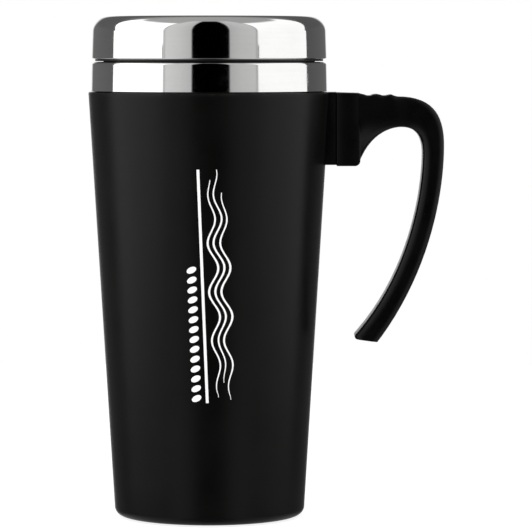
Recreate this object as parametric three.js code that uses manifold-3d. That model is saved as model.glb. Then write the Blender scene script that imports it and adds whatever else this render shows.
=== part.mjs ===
// An insulated travel mug: a tapered plastic shell round a steel cup, a steel neck band, a push-in lid
// with a sliding drink gate, and an open C-shaped handle screwed on from inside the shell.
//
// Millimetres, +Z up. The origin is the centre of the foot, on the surface the mug stands on. The handle
// points along +X and the drink hole faces -Y. Pieces that touch keep a small gap, so that each stays its
// own solid.

import * as THREE from "three";
import { mergeVertices } from "three/addons/utils/BufferGeometryUtils.js";
import Module from "manifold-3d";

const wasm = await Module();
wasm.setup();

// ---- driving dimensions -------------------------------------------------------------------------------

const HEIGHT = 176.5; // foot to the top of the lid
const GAP = 0.3; // between two pieces that touch
const SEGMENTS = 60; // facets round a turned piece

// The shell's outside is a cone between these two heights.
const FOOT_Z = 0.4; // the shell's own foot ring stands this far above the rubber pad's sole
const SHELL_TOP = 149.9;
const SHELL_TOP_R = 42.5;
const SHELL_LOW = 4;
const SHELL_LOW_R = 33.6;
const SHELL_WALL = 2;
const FOOT_CORNER = 3.2;
const FOOT_OPENING_R = 28;

// The steel cup follows the shell, a foam sleeve's width inside it, and widens to a neck for the lid.
const STEEL = 0.5;
const CUP_INSET = 7.2; // shell outside to cup outside
const CUP_FLOOR = 9;
const CUP_CORNER = 5;
const SHOULDER_LOW = 143.9;
const SHOULDER_TOP = 147.9;
const NECK_R = 38.9; // outside of the neck
const NECK_TOP = 160.2;

// The polished band round the neck.
const BAND_BOTTOM = SHELL_TOP + GAP;
const BAND_TOP = 160.5;
const BAND_R = 41.6;
const BAND_TOP_R = 41.4;
const BAND_WALL = 0.6;
const BAND_LIP = 1; // radius of its rolled top edge
const BAND_INNER_R = NECK_R + 0.4;

// The lid.
const COVER_BOTTOM = 161.5;
const COVER_R = 41.4;
const COVER_SHOULDER_R = 41.1;
const COVER_WALL = 0.6;
const COVER_ROUND = 5.5; // radius of the shoulder
const COVER_MOUTH_R = 31.8;
const DECK_SKIRT_R = 40.1;
const DECK_SKIRT_WALL = 1.7;
const DECK_BOTTOM = BAND_TOP + GAP;
const DISH_FLOOR = 171.8;
const DISH_R = 29.2;
const DECK_PLATE = 2; // thickness of the dish's floor
const PLUG_R = 37.2;
const PLUG_BOTTOM = 150.3;
const PLUG_WALL = 1.6;
const GROOVE = { low: 153.3, high: 158.3, r: 35.6 };

// The drink hole and the gate that slides over it, along Y.
const HOLE = { y: -22, halfLength: 7.2, halfWidth: 3.2 };
const VENT = { y: 26, r: 1.2 };
const TRAVEL = 12;
const GATE = { front: -28, back: 10, halfWidth: 10, corner: 6, low: 173.3, high: 174.7, top: 176.2 };
const STEM = { y: -8.2, halfX: 1.6, halfY: 1.7, bottom: 167.8 };

// The handle, screwed to the shell.
const HANDLE_HALF_WIDTH = { root: 7.5, grip: 6.7, from: 54, to: 70 }; // it narrows along X
const HANDLE_EDGE = 3; // radius of the grip's long edges
const BLOCK = { inner: 44.7, outer: 53.1, low: 124, high: 149.8, halfWidth: 7.5 };
const SADDLE = { outer: 44.4, low: 124.4, high: 149.9, halfWidth: 6.6 };
const SCREW_HEIGHTS = { upper: 139.1, lower: 129.6 };
const SCREW = { shankR: 1.35, headR: 3.2, headHeight: 2.2, tip: 51 };
const WASHER = { r: 4, holeR: 1.8, thickness: 0.6 };
const SCREW_HOLE_R = 2;
const PILOT_R = SCREW.shankR + GAP;

// ---- materials ----------------------------------------------------------------------------------------

const finish = (color, roughness, metalness = 0) =>
  new THREE.MeshStandardMaterial({ color, roughness, metalness });
const SOFT_TOUCH = finish(0x232221, 0.62);
const BLACK_PLASTIC = finish(0x0b0b0c, 0.32);
const POLISHED_STEEL = finish(0xd9dadb, 0.08, 1);
const BRUSHED_STEEL = finish(0xb9babb, 0.3, 1);
const BLACK_RUBBER = finish(0x151515, 0.8);
const SILICONE = finish(0xc9c9c6, 0.5);
const FOAM = finish(0xe9e4d3, 0.95);
const ZINC = finish(0xb4b7b9, 0.35, 1);

// ---- shaping ------------------------------------------------------------------------------------------

const pt = (x, y) => new THREE.Vector2(x, y);

/** Points on a round stretch of a profile, about (cx, cy), from one angle to another in degrees. */
function arc(cx, cy, radius, from, to, steps = 4) {
  return Array.from({ length: steps + 1 }, (_, i) => {
    const angle = THREE.MathUtils.degToRad(from + ((to - from) * i) / steps);
    return pt(cx + radius * Math.cos(angle), cy + radius * Math.sin(angle));
  });
}

/** A turned piece from one half of its section, as (radius, height) points in either sense. */
function turned(profile) {
  const section = THREE.ShapeUtils.area(profile) < 0 ? [...profile].reverse() : [...profile];
  const closed = [...section, section[0].clone()];
  return new THREE.LatheGeometry(closed, SEGMENTS).rotateX(Math.PI / 2);
}

/** A flat plate: a shape in X and Y, made solid between two heights. */
function plate(shape, low, high, curveSegments = 8) {
  const depth = high - low;
  const geometry = new THREE.ExtrudeGeometry(shape, { depth, bevelEnabled: false, curveSegments });
  return geometry.translate(0, 0, low);
}

/** A plain block between two corners. */
function block(low, high) {
  const size = high.map((value, i) => value - low[i]);
  const middle = high.map((value, i) => (value + low[i]) / 2);
  return new THREE.BoxGeometry(...size).translate(...middle);
}

/** A rod along X between two stations, at a height. */
function rodAlongX(radius, from, to, z, sides = 24) {
  const geometry = new THREE.CylinderGeometry(radius, radius, to - from, sides);
  return geometry.rotateZ(Math.PI / 2).translate((from + to) / 2, 0, z);
}

/** A rectangle with round corners, centred on (cx, cy). */
function roundedRectangle(cx, cy, halfX, halfY, corner) {
  const shape = new THREE.Shape();
  shape.absarc(cx + halfX - corner, cy + halfY - corner, corner, 0, Math.PI / 2);
  shape.absarc(cx - halfX + corner, cy + halfY - corner, corner, Math.PI / 2, Math.PI);
  shape.absarc(cx - halfX + corner, cy - halfY + corner, corner, Math.PI, 1.5 * Math.PI);
  shape.absarc(cx + halfX - corner, cy - halfY + corner, corner, 1.5 * Math.PI, 2 * Math.PI);
  return shape;
}

/** The drink hole's outline, grown by a margin. */
const holeOutline = (margin) =>
  roundedRectangle(0, HOLE.y, HOLE.halfLength + margin, HOLE.halfWidth + margin, HOLE.halfWidth + margin);

/** The outline of the vent, widened by a margin. */
const ventOutline = (margin) => new THREE.Shape().absarc(0, VENT.y, VENT.r + margin, 0, 2 * Math.PI);

/** A closed three.js geometry as a manifold-3d solid. */
function solid(geometry) {
  const bare = geometry.clone();
  bare.deleteAttribute("normal");
  bare.deleteAttribute("uv");
  const merged = mergeVertices(bare, 1e-3);
  return new wasm.Manifold(
    new wasm.Mesh({
      numProp: 3,
      vertProperties: merged.attributes.position.array,
      triVerts: new Uint32Array(merged.index.array),
    }),
  );
}

/** A manifold-3d solid back as a three.js geometry. */
function geometryOf(made) {
  const mesh = made.getMesh();
  return new THREE.BufferGeometry()
    .setAttribute("position", new THREE.BufferAttribute(new Float32Array(mesh.vertProperties), 3))
    .setIndex(new THREE.BufferAttribute(new Uint32Array(mesh.triVerts), 1));
}

/** A geometry with others joined on and then others cut out. */
function shaped(base, { add = [], cut = [] }) {
  let made = solid(base);
  for (const geometry of add) made = made.add(solid(geometry));
  for (const geometry of cut) made = made.subtract(solid(geometry));
  return geometryOf(made);
}

const mug = new THREE.Group();

/** Puts a finished piece in the mug under the name a person would use. */
function piece(name, geometry, material) {
  const mesh = new THREE.Mesh(geometry, material);
  mesh.name = name;
  mug.add(mesh);
}

// ---- the shell and the foot ---------------------------------------------------------------------------

const SHELL_SLOPE = (SHELL_TOP_R - SHELL_LOW_R) / (SHELL_TOP - SHELL_LOW);
const shellR = (z) => SHELL_LOW_R + SHELL_SLOPE * (z - SHELL_LOW);

function outerShell() {
  const cornerZ = FOOT_Z + FOOT_CORNER;
  const floorTop = FOOT_Z + SHELL_WALL;
  const profile = [
    pt(FOOT_OPENING_R, FOOT_Z),
    ...arc(shellR(cornerZ) - FOOT_CORNER, cornerZ, FOOT_CORNER, -90, 0),
    pt(SHELL_TOP_R, SHELL_TOP - 0.4),
    pt(SHELL_TOP_R - 0.3, SHELL_TOP),
    pt(SHELL_TOP_R - SHELL_WALL, SHELL_TOP),
    pt(shellR(cornerZ) - SHELL_WALL, cornerZ),
    pt(shellR(cornerZ) - FOOT_CORNER, floorTop),
    pt(FOOT_OPENING_R, floorTop),
  ];
  const holes = Object.values(SCREW_HEIGHTS).map((z) => rodAlongX(SCREW_HOLE_R, 30, 50, z));
  return shaped(turned(profile), { cut: holes });
}

const CAP = { low: 0.9, recess: 1.9, shelf: 2.7, high: 4.4, flange: 1.8, padR: 26 };

function baseCap() {
  const r = FOOT_OPENING_R - GAP;
  return turned([
    pt(0, CAP.recess),
    pt(CAP.padR, CAP.recess),
    pt(CAP.padR, CAP.low),
    pt(r, CAP.low),
    pt(r, CAP.shelf),
    pt(r + CAP.flange, CAP.shelf),
    pt(r + CAP.flange, CAP.high),
    pt(0, CAP.high),
  ]);
}

function basePad() {
  const r = CAP.padR - GAP;
  const top = CAP.recess - GAP;
  const groove = { inner: 12, outer: 13.2, depth: 0.6 };
  return turned([
    pt(0, 0),
    pt(groove.inner, 0),
    pt(groove.inner, groove.depth),
    pt(groove.outer, groove.depth),
    pt(groove.outer, 0),
    pt(r - 0.4, 0),
    pt(r, 0.4),
    pt(r, top),
    pt(0, top),
  ]);
}

// ---- the cup, its insulation and the neck -------------------------------------------------------------

const cupR = (z) => shellR(z) - CUP_INSET;

/** One face of the cup's wall, from the middle of the floor to the rim, set in by inset. */
function cupFace(inset) {
  const floor = CUP_FLOOR + inset;
  const corner = CUP_CORNER - inset;
  const cornerX = cupR(CUP_FLOOR + CUP_CORNER) - CUP_CORNER;
  return [
    pt(0, floor),
    ...arc(cornerX, CUP_FLOOR + CUP_CORNER, corner, -90, 0),
    pt(cupR(SHOULDER_LOW) - inset, SHOULDER_LOW),
    pt(NECK_R - inset, SHOULDER_TOP),
    pt(NECK_R - inset, NECK_TOP),
  ];
}

const innerLiner = () => turned([...cupFace(0), ...cupFace(STEEL).reverse()]);

function insulationSleeve() {
  const clearance = 0.4;
  const low = CUP_FLOOR + CUP_CORNER;
  const high = SHOULDER_LOW - 1.5;
  const inside = (z) => cupR(z) + clearance;
  const outside = (z) => shellR(z) - SHELL_WALL - clearance;
  const sleeve = turned([
    pt(inside(low), low),
    pt(outside(low), low),
    pt(outside(high), high),
    pt(inside(high), high),
  ]);
  const screwSpace = block([30, -5.5, SCREW_HEIGHTS.lower - 5], [45, 5.5, high + 1]);
  return shaped(sleeve, { cut: [screwSpace] });
}

function insulationDisc() {
  const r = cupR(CUP_FLOOR + CUP_CORNER) - CUP_CORNER + 2;
  return turned([
    pt(0, CAP.high + GAP),
    pt(r, CAP.high + GAP),
    pt(r, CUP_FLOOR - GAP),
    pt(0, CUP_FLOOR - GAP),
  ]);
}

function neckSeal() {
  const inner = NECK_R + GAP;
  const outer = shellR(SHOULDER_LOW) - SHELL_WALL - GAP;
  return turned([
    pt(inner, SHOULDER_TOP - 3.5),
    pt(outer, SHOULDER_TOP - 3.5),
    pt(outer + 0.2, SHELL_TOP),
    pt(inner, SHELL_TOP),
  ]);
}

function steelCollar() {
  const lipX = BAND_TOP_R - BAND_LIP;
  const lipZ = BAND_TOP - BAND_LIP;
  return turned([
    pt(BAND_INNER_R, BAND_BOTTOM),
    pt(BAND_R, BAND_BOTTOM),
    ...arc(lipX, lipZ, BAND_LIP, 0, 90, 3),
    pt(BAND_INNER_R, BAND_TOP),
    pt(BAND_INNER_R, BAND_TOP - BAND_WALL),
    ...arc(lipX, lipZ, BAND_LIP - BAND_WALL, 90, 0, 2),
    pt(BAND_R - BAND_WALL, BAND_BOTTOM + BAND_WALL),
    pt(BAND_INNER_R, BAND_BOTTOM + BAND_WALL),
  ]);
}

// ---- the handle ---------------------------------------------------------------------------------------

/** The handle's outer and inner edge in X and Z, as matching stretches from the root to the tip. */
function handleEdges() {
  // Two low ridges make the thumb rest.
  const thumbRest = [
    pt(52.2, 149.5),
    pt(54, 149.2),
    pt(56.2, 148.65),
    pt(58.6, 149.25),
    pt(61.4, 148.65),
    pt(64, 149.1),
    pt(66.4, 148.3),
  ];
  const curve = (...points) => new THREE.CubicBezierCurve(...points);
  return [
    {
      outer: new THREE.SplineCurve(thumbRest),
      inner: curve(pt(52.4, 124.3), pt(56.5, 136), pt(64.4, 137.7), pt(67.6, 137.7)),
      steps: 12,
    },
    {
      outer: curve(pt(66.4, 148.3), pt(79.8, 148.5), pt(82.5, 140.3), pt(82.5, 131)),
      inner: curve(pt(67.6, 137.7), pt(75.1, 137.7), pt(75.1, 130.4), pt(75.1, 128)),
      steps: 10,
    },
    {
      outer: curve(pt(82.5, 131), pt(82.5, 115.5), pt(78.4, 86.8), pt(59.8, 62.4)),
      inner: curve(pt(75.1, 128), pt(75.1, 118.2), pt(72, 88.8), pt(51.6, 65.3)),
      steps: 12,
    },
    {
      outer: curve(pt(59.8, 62.4), pt(59.6, 62.2), pt(59.5, 62), pt(59.3, 61.8)),
      inner: curve(pt(51.6, 65.3), pt(50.9, 64.3), pt(51.6, 63), pt(53.2, 62.7)),
      steps: 4,
    },
  ];
}

/** A solid with round-cornered sections, one from each outer point to its inner point, centred on Y = 0. */
function lofted(pairs, corner, cornerSteps = 3) {
  const rings = pairs.map(({ outer, inner, halfWidth }) => {
    const reach = outer.clone().sub(inner).multiplyScalar(0.5);
    const middle = inner.clone().add(reach);
    const half = reach.length();
    const out = reach.normalize();
    const r = Math.min(corner, 0.9 * half);
    const corners = [
      [1, 1],
      [-1, 1],
      [-1, -1],
      [1, -1],
    ];
    return corners.flatMap(([across, along], k) =>
      arc(across * (halfWidth - r), along * (half - r), r, 90 * k, 90 * (k + 1), cornerSteps).map(
        (at) => new THREE.Vector3(middle.x + out.x * at.y, at.x, middle.y + out.y * at.y),
      ),
    );
  });
  const count = rings[0].length;
  const faces = [];
  for (let i = 0; i + 1 < rings.length; i += 1) {
    for (let k = 0; k < count; k += 1) {
      const near = i * count + k;
      const next = i * count + ((k + 1) % count);
      faces.push(near, next, near + count, next, next + count, near + count);
    }
  }
  const last = (rings.length - 1) * count;
  for (let k = 1; k + 1 < count; k += 1) {
    faces.push(0, k + 1, k);
    faces.push(last, last + k, last + k + 1);
  }
  const geometry = new THREE.BufferGeometry().setFromPoints(rings.flat());
  return geometry.setIndex(faces);
}

function handle() {
  const { root: wide, grip: narrow, from, to } = HANDLE_HALF_WIDTH;
  const pairs = handleEdges().flatMap(({ outer, inner, steps }, stretch) => {
    const stations = Array.from({ length: steps + 1 }, (_, i) => {
      const top = outer.getPoint(i / steps);
      const narrowed = THREE.MathUtils.clamp((top.x - from) / (to - from), 0, 1);
      return { outer: top, inner: inner.getPoint(i / steps), halfWidth: wide + (narrow - wide) * narrowed };
    });
    // A stretch starts where the one before it ends.
    return stretch === 0 ? stations : stations.slice(1);
  });
  const side = new THREE.Shape();
  side.moveTo(BLOCK.inner, BLOCK.low);
  side.lineTo(BLOCK.outer - 1.2, BLOCK.low);
  side.quadraticCurveTo(BLOCK.outer, BLOCK.low, BLOCK.outer, BLOCK.low + 1.6);
  side.lineTo(BLOCK.outer, BLOCK.high - 0.25);
  side.lineTo(BLOCK.inner, BLOCK.high);
  const mounting = plate(side, -BLOCK.halfWidth, BLOCK.halfWidth, 4).rotateX(Math.PI / 2);
  const pilots = Object.values(SCREW_HEIGHTS).map((z) => rodAlongX(PILOT_R, 40, SCREW.tip + GAP, z, 16));
  return shaped(mounting, { add: [lofted(pairs, HANDLE_EDGE)], cut: pilots });
}

function handleSaddle() {
  const body = block([36, -SADDLE.halfWidth, SADDLE.low], [SADDLE.outer, SADDLE.halfWidth, SADDLE.high]);
  const low = SADDLE.low - 5;
  const high = SADDLE.high + 5;
  const shellSpace = turned([
    pt(0, low),
    pt(shellR(low) + GAP, low),
    pt(shellR(high) + GAP, high),
    pt(0, high),
  ]);
  const holes = Object.values(SCREW_HEIGHTS).map((z) => rodAlongX(SCREW_HOLE_R, 30, 50, z));
  return shaped(body, { cut: [shellSpace, ...holes] });
}

/** Where a washer lies on the shell's inner wall, at a height. */
const washerFace = (z) => shellR(z) - SHELL_WALL - GAP - 0.3;

function handleWasher(z) {
  const face = washerFace(z);
  return shaped(rodAlongX(WASHER.r, face - WASHER.thickness, face, z), {
    cut: [rodAlongX(WASHER.holeR, 30, 50, z)],
  });
}

function handleScrew(z) {
  const head = washerFace(z) - WASHER.thickness - GAP;
  const recess = 1.1;
  return shaped(rodAlongX(SCREW.headR, head - SCREW.headHeight, head, z), {
    add: [rodAlongX(SCREW.shankR, head - 0.5, SCREW.tip, z, 16)],
    cut: [
      block([head - 3, -1.8, z - 0.4], [head - SCREW.headHeight + recess, 1.8, z + 0.4]),
      block([head - 3, -0.4, z - 1.8], [head - SCREW.headHeight + recess, 0.4, z + 1.8]),
    ],
  });
}

// ---- the lid ------------------------------------------------------------------------------------------

function lidCover() {
  const shoulderX = COVER_SHOULDER_R - COVER_ROUND;
  const shoulderZ = HEIGHT - COVER_ROUND;
  const lip = 0.8;
  return turned([
    pt(COVER_R - COVER_WALL, COVER_BOTTOM),
    ...arc(COVER_R - 0.4, COVER_BOTTOM + 0.4, 0.4, -90, 0, 2),
    ...arc(shoulderX, shoulderZ, COVER_ROUND, 0, 90, 6),
    ...arc(COVER_MOUTH_R + lip, HEIGHT - lip, lip, 90, 180, 2),
    pt(COVER_MOUTH_R, HEIGHT - 2.1),
    pt(COVER_MOUTH_R + COVER_WALL, HEIGHT - 2.1),
    pt(COVER_MOUTH_R + COVER_WALL, HEIGHT - lip),
    pt(COVER_MOUTH_R + lip, HEIGHT - COVER_WALL),
    ...arc(shoulderX, shoulderZ, COVER_ROUND - COVER_WALL, 90, 0, 5),
  ]);
}

/** A rail beside the gate, with a lip over the gate's edge; side is 1 or -1. */
function gateRail(side) {
  const rail = { inner: GATE.halfWidth + GAP, outer: 12.4, lip: 9.2, from: -13, to: 20, top: HEIGHT - 0.6 };
  const across = (a, b) => [Math.min(side * a, side * b), Math.max(side * a, side * b)];
  const [wallLow, wallHigh] = across(rail.inner, rail.outer);
  const [lipLow, lipHigh] = across(rail.lip, rail.outer);
  return [
    block([wallLow, rail.from, DISH_FLOOR - 0.5], [wallHigh, rail.to, rail.top]),
    block([lipLow, rail.from, GATE.high + GAP], [lipHigh, rail.to, rail.top]),
  ];
}

function lidDeck() {
  const shoulderX = COVER_SHOULDER_R - COVER_ROUND;
  const shoulderZ = HEIGHT - COVER_ROUND;
  const outerRound = DECK_SKIRT_R - shoulderX;
  const innerRound = outerRound - DECK_SKIRT_WALL;
  const rimR = COVER_MOUTH_R - GAP;
  const rimTop = HEIGHT - 0.9;
  const lipFloor = HEIGHT - 2.1 - GAP;
  const lipR = COVER_MOUTH_R + COVER_WALL + GAP;
  const under = DISH_FLOOR - DECK_PLATE;
  const disc = turned([
    pt(DECK_SKIRT_R - DECK_SKIRT_WALL, DECK_BOTTOM),
    pt(DECK_SKIRT_R, DECK_BOTTOM),
    ...arc(shoulderX, shoulderZ, outerRound, 0, 90),
    pt(lipR, shoulderZ + outerRound),
    pt(lipR, lipFloor),
    pt(rimR, lipFloor),
    pt(rimR, rimTop - 0.3),
    pt(rimR - 0.4, rimTop),
    pt(DISH_R + 0.5, DISH_FLOOR + 0.5),
    pt(DISH_R, DISH_FLOOR),
    pt(0, DISH_FLOOR),
    pt(0, under),
    pt(DISH_R + 1.2, under),
    pt(lipR - 0.2, lipFloor - 1.6),
    ...arc(shoulderX, shoulderZ, innerRound, 90, 0, 3),
  ]);
  const slotFront = STEM.y - STEM.halfY - 0.4;
  const slotBack = STEM.y + STEM.halfY + TRAVEL + 0.4;
  const [low, high] = [under - 1, DISH_FLOOR + 1];
  const stemSlot = block([-STEM.halfX - GAP, slotFront, low], [STEM.halfX + GAP, slotBack, high]);
  const vent = plate(ventOutline(0), low, high);
  const drinkHole = plate(holeOutline(0), low, high);
  return shaped(disc, {
    add: [...gateRail(1), ...gateRail(-1)],
    cut: [stemSlot, vent, drinkHole],
  });
}

function lidPlug() {
  const socketR = DECK_SKIRT_R - DECK_SKIRT_WALL - GAP;
  const chimneyTop = DISH_FLOOR - DECK_PLATE - GAP;
  const floorTop = PLUG_BOTTOM + PLUG_WALL;
  const socketTop = COVER_BOTTOM + 3.7;
  const cup = turned([
    pt(0, PLUG_BOTTOM),
    pt(PLUG_R - 1, PLUG_BOTTOM),
    pt(PLUG_R, PLUG_BOTTOM + 1),
    pt(PLUG_R, GROOVE.low),
    pt(GROOVE.r, GROOVE.low),
    pt(GROOVE.r, GROOVE.high),
    pt(PLUG_R, GROOVE.high),
    pt(PLUG_R, DECK_BOTTOM),
    pt(socketR, DECK_BOTTOM + 0.5),
    pt(socketR, socketTop),
    pt(socketR - PLUG_WALL, socketTop),
    pt(GROOVE.r - PLUG_WALL, GROOVE.high + 1),
    pt(GROOVE.r - PLUG_WALL, floorTop),
    pt(0, floorTop),
  ]);
  const chimney = plate(holeOutline(1.4), floorTop - 0.5, chimneyTop);
  const ventTube = plate(ventOutline(1.3), floorTop - 0.5, chimneyTop);
  const drinkHole = plate(holeOutline(0), PLUG_BOTTOM - 1, chimneyTop + 1);
  const vent = plate(ventOutline(0), PLUG_BOTTOM - 1, chimneyTop + 1);
  return shaped(cup, { add: [chimney, ventTube], cut: [drinkHole, vent] });
}

function lidSeal() {
  const inner = GROOVE.r + GAP;
  const root = PLUG_R - 0.2;
  const tip = NECK_R - STEEL - 0.2;
  const low = GROOVE.low + GAP;
  const high = GROOVE.high - GAP;
  const fins = 3;
  const pitch = (high - low) / fins;
  const outside = Array.from({ length: fins }, (_, i) => {
    const z = low + pitch * i;
    return [
      pt(root, z + 0.1 * pitch),
      pt(tip, z + 0.45 * pitch),
      pt(tip, z + 0.7 * pitch),
      pt(root, z + 0.8 * pitch),
    ];
  });
  return turned([pt(inner, low), ...outside.flat(), pt(inner, high)]);
}

// ---- the drink gate -----------------------------------------------------------------------------------

function gate() {
  const middle = (GATE.front + GATE.back) / 2;
  const outline = roundedRectangle(0, middle, GATE.halfWidth, (GATE.back - GATE.front) / 2, GATE.corner);
  const thumb = roundedRectangle(0, STEM.y + 2, 6, 7, 2.5);
  const stem = block(
    [-STEM.halfX, STEM.y - STEM.halfY, STEM.bottom],
    [STEM.halfX, STEM.y + STEM.halfY, GATE.low + 0.5],
  );
  const ribs = Array.from({ length: 4 }, (_, i) => {
    const y = STEM.y - 2.5 + 3 * i;
    return block([-5, y - 0.6, GATE.high], [5, y + 0.6, GATE.top]);
  });
  return shaped(plate(outline, GATE.low, GATE.high, 5), {
    add: [plate(thumb, GATE.high - 0.3, GATE.top - 0.6, 5), ...ribs, stem],
  });
}

const gateSeal = () => plate(holeOutline(1.6), DISH_FLOOR + GAP, GATE.low - GAP, 6);

function gateClip() {
  const half = 4.5;
  const top = DISH_FLOOR - DECK_PLATE - GAP;
  return shaped(block([-half, STEM.y - half, top - 1.2], [half, STEM.y + half, top]), {
    cut: [
      block(
        [-STEM.halfX - GAP, STEM.y - STEM.halfY - GAP, top - 5],
        [STEM.halfX + GAP, STEM.y + STEM.halfY + GAP, top + 5],
      ),
    ],
  });
}

// ---- assembly -----------------------------------------------------------------------------------------

piece("outer_shell", outerShell(), SOFT_TOUCH);
piece("base_cap", baseCap(), BLACK_PLASTIC);
piece("base_pad", basePad(), BLACK_RUBBER);
piece("inner_liner", innerLiner(), BRUSHED_STEEL);
piece("insulation_sleeve", insulationSleeve(), FOAM);
piece("insulation_disc", insulationDisc(), FOAM);
piece("neck_seal", neckSeal(), BLACK_RUBBER);
piece("steel_collar", steelCollar(), POLISHED_STEEL);

piece("handle", handle(), BLACK_PLASTIC);
piece("handle_saddle", handleSaddle(), BLACK_PLASTIC);
for (const [place, z] of Object.entries(SCREW_HEIGHTS)) {
  piece(`handle_screw_${place}`, handleScrew(z), ZINC);
  piece(`handle_washer_${place}`, handleWasher(z), ZINC);
}

piece("lid_cover", lidCover(), POLISHED_STEEL);
piece("lid_deck", lidDeck(), BLACK_PLASTIC);
piece("lid_plug", lidPlug(), BLACK_PLASTIC);
piece("lid_seal", lidSeal(), SILICONE);

piece("drink_gate", gate(), BLACK_PLASTIC);
piece("gate_seal", gateSeal(), SILICONE);
piece("gate_clip", gateClip(), BLACK_PLASTIC);

export default mug;
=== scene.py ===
"""An insulated travel mug, modelled and finished over its CAD frame.

The mug stands on the origin with +Z up, its handle along +X and its drink hole towards -Y. Sizes are
written in millimetres, as its maker would, and become metres where a mesh is made. Each sub-assembly is
a class: its sizes are its fields, and its methods make its pieces and dress them. The finishes come
before the pieces that wear them.
"""

import logging
import math
from dataclasses import dataclass
from enum import Enum
from typing import Callable, Iterable, Sequence

import bpy
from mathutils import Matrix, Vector

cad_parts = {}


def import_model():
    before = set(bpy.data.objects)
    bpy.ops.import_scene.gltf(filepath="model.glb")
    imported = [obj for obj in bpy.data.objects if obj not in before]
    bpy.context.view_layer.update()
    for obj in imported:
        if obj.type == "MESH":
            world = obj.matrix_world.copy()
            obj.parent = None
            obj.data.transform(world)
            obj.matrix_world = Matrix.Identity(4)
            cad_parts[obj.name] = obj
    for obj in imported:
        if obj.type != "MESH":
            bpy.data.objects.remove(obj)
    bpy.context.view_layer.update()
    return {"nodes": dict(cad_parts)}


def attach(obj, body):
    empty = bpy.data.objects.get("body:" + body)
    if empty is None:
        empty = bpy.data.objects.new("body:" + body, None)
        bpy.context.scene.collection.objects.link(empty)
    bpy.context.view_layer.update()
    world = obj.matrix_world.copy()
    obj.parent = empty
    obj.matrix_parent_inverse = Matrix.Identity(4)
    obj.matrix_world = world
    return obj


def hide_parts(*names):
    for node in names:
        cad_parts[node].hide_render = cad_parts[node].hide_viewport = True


log = logging.getLogger("travel_mug")

MM = 0.001
GAP = 0.3  # millimetres between two pieces that touch

Colour = tuple[float, float, float]
Point = tuple[float, float, float]
Station = tuple[float, float]

WHITE: Colour = (1.0, 1.0, 1.0)


class Body(Enum):
    """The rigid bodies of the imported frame."""

    MUG = "mug"
    SEAL = "seal"
    LID = "lid"
    GATE = "gate"


class Slot(Enum):
    """The record's material slots."""

    SOFT_TOUCH = "soft_touch_black"
    PLASTIC = "black_plastic"
    RUBBER = "black_rubber"
    SILICONE = "silicone"
    POLISHED = "polished_steel"
    BRUSHED = "brushed_steel"
    ZINC = "zinc_plated_steel"
    FOAM = "insulation_foam"


# ---- shader maths --------------------------------------------------------------------------------------


@dataclass(frozen=True)
class Value:
    """A shader number, on which Python's operators add Math nodes."""

    bench: "NodeBench"
    socket: bpy.types.NodeSocket

    def _math(self, operation: str, first: object, second: object | None = None) -> "Value":
        """Adds one Math node.

        Args:
            operation: the node's operation.
            first: the first operand, a Value or a number.
            second: the second operand, where the operation has one.

        Returns:
            The node's result.
        """
        inputs = {0: first} if second is None else {0: first, 1: second}
        node = self.bench.node("ShaderNodeMath", {"operation": operation}, inputs)
        return Value(self.bench, node.outputs[0])

    def __add__(self, other: object) -> "Value":
        """self + other."""
        return self._math("ADD", self, other)

    def __radd__(self, other: object) -> "Value":
        """other + self."""
        return self._math("ADD", other, self)

    def __sub__(self, other: object) -> "Value":
        """self - other."""
        return self._math("SUBTRACT", self, other)

    def __rsub__(self, other: object) -> "Value":
        """other - self."""
        return self._math("SUBTRACT", other, self)

    def __mul__(self, other: object) -> "Value":
        """self * other."""
        return self._math("MULTIPLY", self, other)

    def __rmul__(self, other: object) -> "Value":
        """other * self."""
        return self._math("MULTIPLY", other, self)

    def __truediv__(self, other: object) -> "Value":
        """self / other."""
        return self._math("DIVIDE", self, other)

    def __pow__(self, other: object) -> "Value":
        """self to a power."""
        return self._math("POWER", self, other)

    def __neg__(self) -> "Value":
        """The value with its sign changed."""
        return self._math("MULTIPLY", self, -1.0)

    def __abs__(self) -> "Value":
        """The value without its sign."""
        return self._math("ABSOLUTE", self)

    def angle_from(self, across: "Value") -> "Value":
        """The angle whose sine side is self and whose cosine side is across."""
        return self._math("ARCTAN2", self, across)

    def between(self, low: float, high: float, smooth: bool = True) -> "Value":
        """Where the value lies from low to high.

        Args:
            low: the value that becomes 0, which may be the larger of the two.
            high: the value that becomes 1.
            smooth: whether the step eases in and out.

        Returns:
            A value held between 0 and 1.
        """
        settings = {"interpolation_type": "SMOOTHSTEP" if smooth else "LINEAR"}
        limits = {"Value": self, "From Min": low, "From Max": high}
        node = self.bench.node("ShaderNodeMapRange", settings, limits)
        return Value(self.bench, node.outputs["Result"])


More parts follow.
